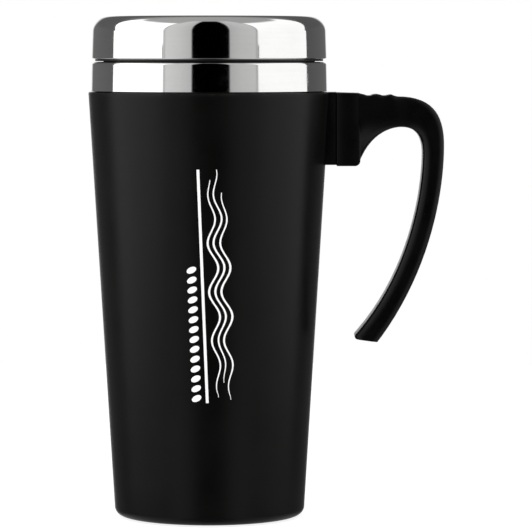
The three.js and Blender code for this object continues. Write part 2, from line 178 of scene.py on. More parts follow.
class NodeBench:
    """Adds nodes to one node tree."""

    def __init__(self, tree: bpy.types.NodeTree) -> None:
        """Empties the tree.

        Args:
            tree: a material's or a world's node tree.
        """
        self.tree = tree
        tree.nodes.clear()

    def node(
        self,
        kind: str,
        settings: dict[str, object] | None = None,
        inputs: dict[str | int, object] | None = None,
    ) -> bpy.types.Node:
        """Adds a node of any type.

        Args:
            kind: the node's type.
            settings: its own settings, set first. A ramp takes "stops", a list of (position, colour).
            inputs: socket name or index to a Value, a socket, or a constant.

        Returns:
            The node.
        """
        made = self.tree.nodes.new(kind)
        for name, setting in (settings or {}).items():
            if name == "stops":
                self._set_stops(made.color_ramp, setting)
            else:
                setattr(made, name, setting)
        for name, given in (inputs or {}).items():
            socket = made.inputs[name]
            if isinstance(given, Value):
                self.tree.links.new(given.socket, socket)
            elif isinstance(given, bpy.types.NodeSocket):
                self.tree.links.new(given, socket)
            else:
                socket.default_value = given
        return made

    @staticmethod
    def _set_stops(ramp: bpy.types.ColorRamp, stops: Sequence[tuple[float, Colour]]) -> None:
        """Gives a ramp its stops.

        Args:
            ramp: the ramp, which starts with two.
            stops: (position, colour) from low to high.
        """
        while len(ramp.elements) < len(stops):
            ramp.elements.new(1.0)
        for element, (position, colour) in zip(ramp.elements, stops):
            element.position = position
            element.color = (*colour, 1.0)

    def place(self, stretch: Point = (1.0, 1.0, 1.0)) -> bpy.types.NodeSocket:
        """The point on the piece in millimetres, in the mug's frame.

        Args:
            stretch: how much faster than the piece a pattern goes along X, Y and Z.

        Returns:
            The vector's socket.
        """
        coordinates = self.node("ShaderNodeTexCoord")
        scale = tuple(s / MM for s in stretch)
        inputs = {"Vector": coordinates.outputs["Object"], "Scale": scale}
        return self.node("ShaderNodeMapping", None, inputs).outputs["Vector"]

    def parts(self, vector: bpy.types.NodeSocket) -> tuple[Value, Value, Value]:
        """The vector's X, Y and Z."""
        outputs = self.node("ShaderNodeSeparateXYZ", None, {"Vector": vector}).outputs
        return Value(self, outputs["X"]), Value(self, outputs["Y"]), Value(self, outputs["Z"])

    def noise(
        self,
        vector: bpy.types.NodeSocket,
        size: float,
        detail: float = 2.0,
        rough: float = 0.5,
    ) -> Value:
        """Cloudy noise.

        Args:
            vector: where to read it, in millimetres.
            size: about how wide a cloud is, in the same unit.
            detail: how many finer layers it has.
            rough: how strong the finer layers are.

        Returns:
            A value around 0.5.
        """
        inputs = {"Vector": vector, "Scale": 1.0 / size, "Detail": detail, "Roughness": rough}
        return Value(self, self.node("ShaderNodeTexNoise", None, inputs).outputs["Fac"])

    def cells(self, vector: bpy.types.NodeSocket, size: float) -> Value:
        """The distance to the nearest of scattered points, in cell widths."""
        inputs = {"Vector": vector, "Scale": 1.0 / size}
        return Value(self, self.node("ShaderNodeTexVoronoi", None, inputs).outputs["Distance"])

    def ramp(self, value: Value, stops: Sequence[tuple[float, Colour]]) -> bpy.types.NodeSocket:
        """The colour at a value on a ramp."""
        return self.node("ShaderNodeValToRGB", {"stops": stops}, {"Fac": value}).outputs["Color"]

    def mix(self, factor: object, first: object, second: object) -> bpy.types.NodeSocket:
        """A colour between two.

        Args:
            factor: 0 for the first and 1 for the second.
            first: a colour or its socket.
            second: a colour or its socket.

        Returns:
            The colour's socket.
        """
        whole = [(*c, 1.0) if isinstance(c, tuple) else c for c in (first, second)]
        inputs = {"Factor": factor, 6: whole[0], 7: whole[1]}
        return self.node("ShaderNodeMix", {"data_type": "RGBA"}, inputs).outputs[2]

    def bump(self, height: Value, strength: float, depth: float) -> bpy.types.NodeSocket:
        """A bumped normal.

        Args:
            height: the relief, from 0 to 1.
            strength: how much of it shows.
            depth: its full depth in millimetres.

        Returns:
            The normal's socket.
        """
        inputs = {"Height": height, "Strength": strength, "Distance": depth * MM}
        return self.node("ShaderNodeBump", None, inputs).outputs["Normal"]


# ---- finishes ------------------------------------------------------------------------------------------


@dataclass(frozen=True)
class Finish:
    """One surface finish; each kind adds its own nodes in shade. The studio's own finishes have no slot."""

    name: str
    slot: Slot | None

    def make(self) -> bpy.types.Material:
        """Builds the material once, and gives the same one after that.

        Returns:
            The material.
        """
        known = bpy.data.materials.get(self.name)
        if known is not None:
            return known
        material = bpy.data.materials.new(self.name)
        material.use_nodes = True
        bench = NodeBench(material.node_tree)
        shader = bench.node("ShaderNodeBsdfPrincipled", None, self.shade(bench))
        bench.node("ShaderNodeOutputMaterial", None, {"Surface": shader.outputs["BSDF"]})
        return material

    def shade(self, bench: NodeBench) -> dict[str, object]:
        """The main shader's inputs."""
        raise NotImplementedError


@dataclass(frozen=True)
class SoftTouch(Finish):
    """A rubbery matte coat over moulded plastic, with a very fine grain and faint handling marks."""

    dark: Colour = (0.0012, 0.0011, 0.0010)
    light: Colour = (0.0025, 0.0023, 0.0021)
    roughness: float = 0.33

    def shade(self, bench: NodeBench) -> dict[str, object]:
        """The main shader's inputs."""
        place = bench.place()
        _, _, height = bench.parts(place)
        grain = bench.noise(place, 0.3, 2.0, 0.55)
        pores = bench.cells(place, 0.45)
        clouds = bench.noise(place, 21.0, 4.0, 0.55)
        # Streaks run round the shell, where hands turn it.
        streaks = bench.noise(bench.place((0.05, 0.05, 1.0)), 1.6, 3.0, 0.6)
        scuffs = bench.noise(bench.place((0.35, 0.35, 1.6)), 1.1, 5.0, 0.7).between(0.6, 0.72)
        foot = height.between(9.0, 1.0) * scuffs
        rim = height.between(148.5, 149.8) * bench.noise(place, 2.5, 3.0).between(0.35, 0.75)
        wear = foot * 0.55 + rim * 0.5
        tone = clouds.between(0.3, 0.7) * 0.7 + grain * 0.3
        coat = bench.mix(tone, self.dark, self.light)
        colour = bench.mix(wear, coat, (0.014, 0.0135, 0.0125))
        relief = grain * 0.75 + pores * 0.25
        return {
            "Base Color": colour,
            "Roughness": self.roughness + (clouds - 0.5) * 0.12 + (streaks - 0.5) * 0.07 - wear * 0.1,
            "Normal": bench.bump(relief, 0.3, 0.008),
            "Specular IOR Level": 0.19,
        }


@dataclass(frozen=True)
class MouldedPlastic(Finish):
    """Black moulded plastic: a soft gloss with a slight orange peel, rubbed duller where it is handled."""

    dark: Colour = (0.0011, 0.0011, 0.0012)
    light: Colour = (0.0024, 0.0024, 0.0025)
    roughness: float = 0.24
    peel: float = 0.12
    gloss: float = 0.5

    def shade(self, bench: NodeBench) -> dict[str, object]:
        """The main shader's inputs."""
        place = bench.place()
        peel = bench.noise(place, 1.4, 2.0, 0.45)
        grain = bench.noise(place, 0.18, 2.0, 0.6)
        clouds = bench.noise(place, 12.0, 4.0, 0.6)
        scratches = bench.noise(bench.place((0.9, 0.9, 0.12)), 0.5, 4.0, 0.75).between(0.63, 0.74)
        dust = bench.cells(place, 2.3).between(0.09, 0.03)
        colour = bench.mix(clouds.between(0.3, 0.75), self.dark, self.light)
        marked = bench.mix(scratches * 0.25 + dust * 0.2, colour, (0.02, 0.02, 0.02))
        return {
            "Base Color": marked,
            "Roughness": self.roughness + (clouds - 0.5) * 0.14 + grain * 0.05 + scratches * 0.06,
            "Normal": bench.bump(peel * 0.8 + grain * 0.2, self.peel, 0.06),
            "Specular IOR Level": self.gloss,
        }


@dataclass(frozen=True)
class TurnedSteel(Finish):
    """Stainless steel with its polishing or brushing lines running round the axis."""

    colour: Colour = (0.86, 0.86, 0.855)
    tint: Colour = (0.79, 0.785, 0.775)
    roughness: float = 0.05
    smear: float = 0.06
    lines: float = 0.03
    line_width: float = 0.09

    def shade(self, bench: NodeBench) -> dict[str, object]:
        """The main shader's inputs."""
        place = bench.place()
        x, y, z = bench.parts(place)
        # The lines follow rings: height on a wall, and distance from the axis on a flat.
        across = (x * x + y * y) ** 0.5
        ring = bench.node("ShaderNodeCombineXYZ", None, {"X": across, "Y": z, "Z": (x + y) * 0.02})
        fine = bench.noise(ring.outputs["Vector"], self.line_width, 3.0, 0.65)
        broad = bench.noise(ring.outputs["Vector"], self.line_width * 9.0, 2.0, 0.5)
        smudges = bench.noise(place, 13.0, 5.0, 0.6).between(0.42, 0.72)
        prints = bench.noise(place, 4.5, 4.0, 0.55).between(0.55, 0.7) * smudges
        nicks = bench.noise(bench.place((0.2, 0.2, 1.4)), 0.7, 4.0, 0.7).between(0.66, 0.74)
        colour = bench.mix(broad * 0.5 + smudges * 0.35, self.colour, self.tint)
        handled = self.roughness + prints * self.smear + smudges * self.smear * 0.5
        return {
            "Base Color": bench.mix(nicks * 0.35, colour, (0.6, 0.6, 0.6)),
            "Metallic": 1.0,
            "Roughness": handled + (fine - 0.5) * 0.04,
            "Normal": bench.bump(fine * 0.8 + broad * 0.2, self.lines, 0.012),
        }


@dataclass(frozen=True)
class Rubber(Finish):
    """Moulded rubber or silicone, matte, with fine pitting and a bloom of dust."""

    dark: Colour = (0.008, 0.008, 0.008)
    light: Colour = (0.02, 0.02, 0.019)
    roughness: float = 0.72
    clearness: float = 0.0

    def shade(self, bench: NodeBench) -> dict[str, object]:
        """The main shader's inputs."""
        place = bench.place()
        pits = bench.cells(place, 0.5)
        grain = bench.noise(place, 0.25, 3.0, 0.6)
        bloom = bench.noise(place, 7.0, 4.0, 0.6).between(0.35, 0.75)
        return {
            "Base Color": bench.mix(bloom * 0.8 + grain * 0.2, self.dark, self.light),
            "Roughness": self.roughness + (bloom - 0.5) * 0.14 + (grain - 0.5) * 0.08,
            "Normal": bench.bump(pits * 0.5 + grain * 0.5, 0.3, 0.05),
            "Subsurface Weight": self.clearness,
            "Subsurface Radius": (0.002, 0.002, 0.002),
            "Subsurface Scale": 1.0,
        }


@dataclass(frozen=True)
class Foam(Finish):
    """Light open-celled insulation foam, yellowed in patches."""

    def shade(self, bench: NodeBench) -> dict[str, object]:
        """The main shader's inputs."""
        place = bench.place()
        cells = bench.cells(place, 0.9)
        patches = bench.noise(place, 16.0, 4.0, 0.6).between(0.35, 0.7)
        colour = bench.mix(patches, (0.8, 0.77, 0.66), (0.7, 0.63, 0.45))
        return {
            "Base Color": bench.mix(cells.between(0.5, 0.1) * 0.3, colour, (0.5, 0.45, 0.34)),
            "Roughness": 0.9 + (patches - 0.5) * 0.08,
            "Normal": bench.bump(cells, 0.7, 0.25),
        }


@dataclass(frozen=True)
class ZincPlate(Finish):
    """Bright zinc plating, with the faint crystals and the bluish cast it has."""

    def shade(self, bench: NodeBench) -> dict[str, object]:
        """The main shader's inputs."""
        place = bench.place()
        crystals = bench.cells(place, 0.8)
        patches = bench.noise(place, 2.5, 3.0, 0.6)
        return {
            "Base Color": bench.mix(patches.between(0.35, 0.7), (0.52, 0.54, 0.57), (0.42, 0.42, 0.41)),
            "Metallic": 1.0,
            "Roughness": 0.3 + crystals * 0.15 + (patches - 0.5) * 0.1,
            "Normal": bench.bump(crystals, 0.2, 0.03),
        }


@dataclass(frozen=True)
class Ink(Finish):
    """White pad-printed ink, a little thin in places so the coat below dulls it."""

    def shade(self, bench: NodeBench) -> dict[str, object]:
        """The main shader's inputs."""
        place = bench.place()
        thin = bench.noise(place, 0.7, 4.0, 0.65).between(0.62, 0.82)
        grain = bench.noise(place, 0.2, 2.0, 0.5)
        return {
            "Base Color": bench.mix(thin * 0.35, (0.86, 0.86, 0.85), (0.45, 0.45, 0.44)),
            "Roughness": 0.46 + (grain - 0.5) * 0.1 + thin * 0.1,
            "Normal": bench.bump(grain, 0.2, 0.01),
        }


@dataclass(frozen=True)
class StudioFloor(Finish):
    """The studio's pale floor, evenly lit from below its surface."""

    glow: float = 0.86

    def shade(self, bench: NodeBench) -> dict[str, object]:
        """The main shader's inputs."""
        place = bench.place()
        mottle = bench.noise(place, 40.0, 2.0)
        return {
            "Base Color": bench.mix(mottle, (0.34, 0.34, 0.34), (0.36, 0.36, 0.36)),
            "Roughness": 0.9,
            "Emission Color": (*WHITE, 1.0),
            "Emission Strength": self.glow,
        }


@dataclass(frozen=True)
class SoftboxFront(Finish):
    """A softbox's glowing front."""

    level: float = 1.3

    def shade(self, bench: NodeBench) -> dict[str, object]:
        """The main shader's inputs."""
        return {
            "Base Color": (0.0, 0.0, 0.0, 1.0),
            "Specular IOR Level": 0.0,
            "Emission Color": (*WHITE, 1.0),
            "Emission Strength": self.level,
        }


SOFT_TOUCH = SoftTouch("soft_touch_coat", Slot.SOFT_TOUCH)
HANDLE_PLASTIC = MouldedPlastic(
    "handle_plastic",
    Slot.PLASTIC,
    dark=(0.0006, 0.0006, 0.0006),
    light=(0.0012, 0.0012, 0.0012),
    roughness=0.26,
    peel=0.1,
    gloss=0.34,
)
LID_PLASTIC = MouldedPlastic("lid_plastic", Slot.PLASTIC, roughness=0.34, peel=0.08)
GATE_PLASTIC = MouldedPlastic(
    "gate_plastic",
    Slot.PLASTIC,
    light=(0.0062, 0.0062, 0.0064),
    roughness=0.42,
    peel=0.16,
)
POLISHED = TurnedSteel("polished_steel_finish", Slot.POLISHED)
BRUSHED = TurnedSteel(
    "brushed_steel_finish",
    Slot.BRUSHED,
    colour=(0.62, 0.62, 0.615),
    tint=(0.52, 0.52, 0.51),
    roughness=0.28,
    smear=0.08,
    lines=0.35,
    line_width=0.16,
)
RUBBER = Rubber("black_rubber_finish", Slot.RUBBER)
SILICONE = Rubber(
    "silicone_finish",
    Slot.SILICONE,
    dark=(0.5, 0.5, 0.48),
    light=(0.62, 0.62, 0.6),
    roughness=0.45,
    clearness=0.3,
)
FOAM = Foam("foam_finish", Slot.FOAM)
ZINC = ZincPlate("zinc_finish", Slot.ZINC)
INK = Ink("white_ink", Slot.SOFT_TOUCH)


# ---- modelling -----------------------------------------------------------------------------------------


def arc(cx: float, cy: float, radius: float, start: float, end: float, steps: int = 8) -> list[Station]:
    """Stations on a round stretch of a section.

    Args:
        cx: the arc's centre, across.
        cy: the arc's centre, up.
        radius: its radius.
        start: the angle it starts at, in degrees from across towards up.
        end: the angle it ends at.
        steps: how many chords make it.

    Returns:
        The stations, both ends included.
    """
    angles = [math.radians(start + (end - start) * i / steps) for i in range(steps + 1)]
    return [(cx + radius * math.cos(a), cy + radius * math.sin(a)) for a in angles]


def share(value: float, start: float, end: float) -> float:
    """How far a value has come from start to end, held between 0 and 1."""
    return min(1.0, max(0.0, (value - start) / (end - start)))


@dataclass(frozen=True)
class Bezier:
    """A cubic curve in the side view, across and up."""

    points: tuple[Station, Station, Station, Station]

    def at(self, t: float) -> Vector:
        """The point at t, from 0 at the start to 1 at the end."""
        s = 1.0 - t
        weights = (s * s * s, 3 * s * s * t, 3 * s * t * t, t * t * t)
        return sum((Vector(p) * w for p, w in zip(self.points, weights)), Vector((0.0, 0.0)))


class Vice:
    """Holds one mesh at a time while it is shaped with the edit tools."""

    @staticmethod
    def clear() -> None:
        """Leaves edit mode and deselects everything."""
        if bpy.context.object is not None and bpy.context.object.mode != "OBJECT":
            bpy.ops.object.mode_set(mode="OBJECT")
        bpy.ops.object.select_all(action="DESELECT")

    @staticmethod
    def take(piece: bpy.types.Object) -> bpy.types.Object:
        """Selects one object and makes it active."""
        Vice.clear()
        piece.select_set(True)
        bpy.context.view_layer.objects.active = piece
        return piece

    @staticmethod
    def select(
        piece: bpy.types.Object,
        kind: str,
        keep: Callable[[Vector, Vector], bool],
    ) -> None:
        """Selects the faces or edges of the mesh in edit mode by their place or normal.

        Args:
            piece: the object in edit mode.
            kind: "FACE" or "EDGE".
            keep: takes an element's middle and its normal (a face) or direction (an edge).
        """
        bpy.ops.mesh.select_mode(type=kind)
        bpy.ops.mesh.select_all(action="DESELECT")
        bpy.ops.object.mode_set(mode="OBJECT")
        mesh = piece.data
        if kind == "FACE":
            for polygon in mesh.polygons:
                polygon.select = keep(polygon.center, polygon.normal)
        else:
            for edge in mesh.edges:
                ends = [mesh.vertices[i].co for i in edge.vertices]
                edge.select = keep((ends[0] + ends[1]) / 2, (ends[1] - ends[0]).normalized())
        bpy.ops.object.mode_set(mode="EDIT")

    @staticmethod
    def open_whole() -> None:
        """Enters edit mode with the whole mesh selected."""
        bpy.ops.object.mode_set(mode="EDIT")
        bpy.ops.mesh.select_all(action="SELECT")

    @staticmethod
    def close_up() -> None:
        """Merges doubled points, turns the faces outwards and leaves edit mode."""
        same_point = 0.002 * MM
        bpy.ops.mesh.select_mode(type="VERT")
        bpy.ops.mesh.select_all(action="SELECT")
        bpy.ops.mesh.remove_doubles(threshold=same_point)
        bpy.ops.mesh.normals_make_consistent(inside=False)
        bpy.ops.object.mode_set(mode="OBJECT")

    @staticmethod
    def settle(piece: bpy.types.Object) -> None:
        """Moves the object's place, turn and size into its mesh."""
        Vice.take(piece)
        bpy.ops.object.transform_apply(location=True, rotation=True, scale=True)

    @staticmethod
    def modify(piece: bpy.types.Object, kind: str, **settings: object) -> None:
        """Adds a modifier and applies it.

        Args:
            piece: the object.
            kind: the modifier's type.
            settings: its settings.
        """
        Vice.take(piece)
        bpy.ops.object.modifier_add(type=kind)
        modifier = piece.modifiers[-1]
        for name, setting in settings.items():
            setattr(modifier, name, setting)
        bpy.ops.object.modifier_apply(modifier=modifier.name)

    @staticmethod
    def soften(piece: bpy.types.Object, radius: float, segments: int = 3, angle: float = 40.0) -> None:
        """Rounds every edge sharper than an angle.

        Args:
            piece: the object.
            radius: the rounding, in millimetres.
            segments: how many strips make it.
            angle: the least angle between two faces that is rounded, in degrees.
        """
        Vice.modify(
            piece,
            "BEVEL",
            width=radius * MM,
            segments=segments,
            limit_method="ANGLE",
            angle_limit=math.radians(angle),
            use_clamp_overlap=True,
        )

    @staticmethod
    def soften_each(
        piece: bpy.types.Object,
        widest: float,
        segments: int,
        radius: Callable[[Vector, Vector], float],
    ) -> None:
        """Rounds the sharp edges, each by a radius of its own.

        Args:
            piece: the object.
            widest: the largest rounding, in millimetres.
            segments: how many strips make it.
            radius: takes an edge's middle and its run, both in millimetres, and gives its rounding.
        """
        Vice.take(piece)
        bpy.ops.object.mode_set(mode="EDIT")
        bpy.ops.mesh.select_mode(type="EDGE")
        bpy.ops.mesh.select_all(action="DESELECT")
        bpy.ops.mesh.edges_select_sharp(sharpness=math.radians(50.0))
        bpy.ops.object.mode_set(mode="OBJECT")
        mesh = piece.data
        sharp = [edge for edge in mesh.edges if edge.select]
        weights = mesh.attributes.new("bevel_weight_edge", "FLOAT", "EDGE")
        for edge in sharp:
            start, end = (mesh.vertices[i].co / MM for i in edge.vertices)
            weights.data[edge.index].value = radius((start + end) / 2, end - start) / widest
        Vice.modify(
            piece,
            "BEVEL",
            width=widest * MM,
            segments=segments,
            limit_method="WEIGHT",
            use_clamp_overlap=False,
        )
        mesh = piece.data
        mesh.attributes.remove(mesh.attributes["bevel_weight_edge"])

    @staticmethod
    def smooth(piece: bpy.types.Object, angle: float = 30.0) -> None:
        """Shades smooth across edges blunter than an angle, in degrees."""
        Vice.take(piece)
        bpy.ops.object.shade_smooth_by_angle(angle=math.radians(angle))

    @staticmethod
    def join(pieces: Sequence[bpy.types.Object]) -> bpy.types.Object:
        """Joins objects into the first.

        Args:
            pieces: the objects.

        Returns:
            The first one, which now holds them all.
        """
        Vice.clear()
        for piece in pieces:
            piece.select_set(True)
        bpy.context.view_layer.objects.active = pieces[0]
        bpy.ops.object.join()
        return pieces[0]

    @staticmethod
    def copy(piece: bpy.types.Object, shift: Point) -> bpy.types.Object:
        """A copy with its own mesh, moved by so many millimetres.

        Args:
            piece: the object to copy.
            shift: how far the copy is moved along X, Y and Z.

        Returns:
            The copy, with its place in its mesh.
        """
        Vice.take(piece)
        move = {"value": tuple(s * MM for s in shift)}
        bpy.ops.object.duplicate_move(OBJECT_OT_duplicate={"linked": False}, TRANSFORM_OT_translate=move)
        made = bpy.context.object
        Vice.settle(made)
        return made

    @staticmethod
    def cut(
        piece: bpy.types.Object,
        tools: Iterable[bpy.types.Object],
        operation: str = "DIFFERENCE",
    ) -> None:
        """Cuts closed objects out of a piece, or adds them to it, and removes them.

        Args:
            piece: the object that is cut or added to.
            tools: the closed objects, which are used up.
            operation: "DIFFERENCE" to cut or "UNION" to add.
        """
        for tool in tools:
            Vice.modify(piece, "BOOLEAN", operation=operation, solver="EXACT", object=tool)
            Vice.take(tool)
            bpy.ops.object.delete()


def turned(name: str, stations: Sequence[Station], segments: int = 128) -> bpy.types.Object:
    """A turned piece: a ring extruded from station to station of its section, until the section closes.

    Args:
        name: the object's name.
        stations: (radius, height) in millimetres. The first and the last may lie on the axis.
        segments: how many sides a ring has.

    Returns:
        The object, closed and facing outwards.
    """
    on_axis = stations[0][0] < 0.001
    route = list(stations[1:]) if on_axis else [*stations, stations[0]]
    radius, height = route[0][0], route[0][1]
    Vice.clear()
    bpy.ops.mesh.primitive_circle_add(
        vertices=segments,
        radius=radius * MM,
        fill_type="TRIFAN" if on_axis else "NOTHING",
        location=(0.0, 0.0, height * MM),
    )
    piece = bpy.context.object
    piece.name = name
    bpy.ops.object.mode_set(mode="EDIT")
    if on_axis:
        # The first disc stays as the cap, and only its rim goes on.
        bpy.ops.mesh.select_all(action="SELECT")
        bpy.ops.mesh.region_to_loop()
    for next_radius, next_height in route[1:]:
        rise = {"value": (0.0, 0.0, (next_height - height) * MM)}
        bpy.ops.mesh.extrude_region_move(TRANSFORM_OT_translate=rise)
        if next_radius < 0.001:
            bpy.ops.mesh.merge(type="CENTER")
            break
        grow = next_radius / radius
        bpy.ops.transform.resize(value=(grow, grow, 1.0), center_override=(0.0, 0.0, next_height * MM))
        radius, height = next_radius, next_height
    Vice.close_up()
    Vice.settle(piece)
    return piece


def boxed(
    name: str,
    low: Point,
    high: Point,
    rounding: float = 0.0,
    segments: int = 3,
) -> bpy.types.Object:
    """A block between two corners, with rounded edges.

    Args:
        name: the object's name.
        low: its lowest corner in millimetres.
        high: its highest corner.
        rounding: the radius of its edges.
        segments: how many strips make the rounding.

    Returns:
        The object.
    """
    Vice.clear()
    middle = [(a + b) / 2 * MM for a, b in zip(low, high)]
    bpy.ops.mesh.primitive_cube_add(size=1.0, location=middle)
    piece = bpy.context.object
    piece.name = name
    Vice.open_whole()
    size = tuple((b - a) * MM for a, b in zip(low, high))
    bpy.ops.transform.resize(value=size, center_override=middle)
    bpy.ops.object.mode_set(mode="OBJECT")
    Vice.settle(piece)
    if rounding > 0.0:
        Vice.soften(piece, rounding, segments)
    return piece


def slab(
    name: str,
    middle: Station,
    half: Station,
    corner: float,
    low: float,
    high: float,
    segments: int = 10,
) -> bpy.types.Object:
    """A flat plate with round corners: a plane, its corners bevelled, then extruded upwards.

    Args:
        name: the object's name.
        middle: its centre along X and Y, in millimetres.
        half: half its length along X and Y.
        corner: the radius of its corners.
        low: its underside's height.
        high: its top's height.
        segments: how many strips make a corner.

    Returns:
        The object.
    """
    Vice.clear()
    centre = (middle[0] * MM, middle[1] * MM, low * MM)
    bpy.ops.mesh.primitive_plane_add(size=1.0, location=centre)
    piece = bpy.context.object
    piece.name = name
    Vice.open_whole()
    bpy.ops.transform.resize(value=(2 * half[0] * MM, 2 * half[1] * MM, 1.0), center_override=centre)
    # Just under the full radius, so that two corners never meet in one point.
    reach = 0.999 * corner * MM
    bpy.ops.mesh.bevel(affect="VERTICES", offset=reach, segments=segments, clamp_overlap=False)
    bpy.ops.mesh.select_all(action="SELECT")
    bpy.ops.mesh.extrude_region_move(TRANSFORM_OT_translate={"value": (0.0, 0.0, (high - low) * MM)})
    Vice.close_up()
    Vice.settle(piece)
    return piece


def hand_over(piece: bpy.types.Object, body: Body, finish: Finish, *nodes: str) -> None:
    """Dresses a finished piece, lets it ride on its body, and hides the CAD nodes it stands for.

    Args:
        piece: the object, with its place in its mesh.
        body: the body it moves with.
        finish: what it is made of.
        nodes: the CAD nodes it replaces.
    """
    piece.data.materials.clear()
    piece.data.materials.append(finish.make())
    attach(piece, body.value)
    if nodes:
        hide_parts(*nodes)
    stands_for = ", ".join(nodes) or "no node"
    log.info("made %s for %s, %d faces", piece.name, stands_for, len(piece.data.polygons))


# ---- the shell and its foot ----------------------------------------------------------------------------


@dataclass
class Shell:
    """The tapered outside and its foot."""

    top: float = 149.9
    top_radius: float = 42.5
    low: float = 4.0
    low_radius: float = 33.6
    wall: float = 2.0
    foot: float = 0.4
    foot_corner: float = 3.2
    foot_opening: float = 28.0
    cap_low: float = 0.9
    cap_recess: float = 1.9
    cap_shelf: float = 2.7
    cap_high: float = 4.4
    cap_flange: float = 29.5
    pad_radius: float = 25.7
    pad_grooves: tuple[Station, ...] = ((6.0, 7.0), (12.0, 13.2), (18.0, 19.2))

    def radius(self, height: float) -> float:
        """The outside radius at a height, both in millimetres."""
        slope = (self.top_radius - self.low_radius) / (self.top - self.low)
        return self.low_radius + slope * (height - self.low)

    def make_shell(self) -> bpy.types.Object:
        """The coated shell, with a rounded foot and a crisp top edge.

        Returns:
            The object.
        """
        corner = self.foot + self.foot_corner
        outer = self.radius(corner)
        climb = [(self.radius(z), float(z)) for z in range(16, 149, 12)]
        stations = [
            (self.foot_opening, self.foot),
            *arc(outer - self.foot_corner, corner, self.foot_corner, -90, 0, 10),
            *climb,
            *arc(self.top_radius - 0.35, self.top - 0.35, 0.35, 3.5, 90, 4),
            (self.top_radius - self.wall, self.top),
            (outer - self.wall, corner),
            (outer - self.foot_corner, self.foot + self.wall),
            (self.foot_opening, self.foot + self.wall),
        ]
        piece = turned("shell_body", stations, 160)
        Vice.smooth(piece)
        hand_over(piece, Body.MUG, SOFT_TOUCH, "outer_shell")
        return piece

    def make_foot(self) -> None:
        """The cap that closes the bottom and the ridged rubber pad stuck to it."""
        rim = self.foot_opening - GAP
        cap = turned(
            "bottom_cap",
            [
                (0.0, self.cap_recess),
                (26.0, self.cap_recess),
                (26.0, self.cap_low),
                (rim, self.cap_low),
                (rim, self.cap_shelf),
                (self.cap_flange, self.cap_shelf),
                (self.cap_flange, self.cap_high),
                (0.0, self.cap_high),
            ],
        )
        Vice.soften(cap, 0.25)
        Vice.smooth(cap)
        hand_over(cap, Body.MUG, LID_PLASTIC, "base_cap")

        stations = [(0.0, 0.0)]
        for inner, outer in self.pad_grooves:
            stations += [(inner, 0.0), (inner + 0.2, 0.5), (outer - 0.2, 0.5), (outer, 0.0)]
        edge, thick = 0.4, 1.6
        stations += [
            (self.pad_radius - edge, 0.0),
            (self.pad_radius, edge),
            (self.pad_radius, thick),
            (0.0, thick),
        ]
        pad = turned("foot_pad", stations)
        Vice.soften(pad, 0.15, 2, 25.0)
        Vice.smooth(pad)
        hand_over(pad, Body.MUG, RUBBER, "base_pad")


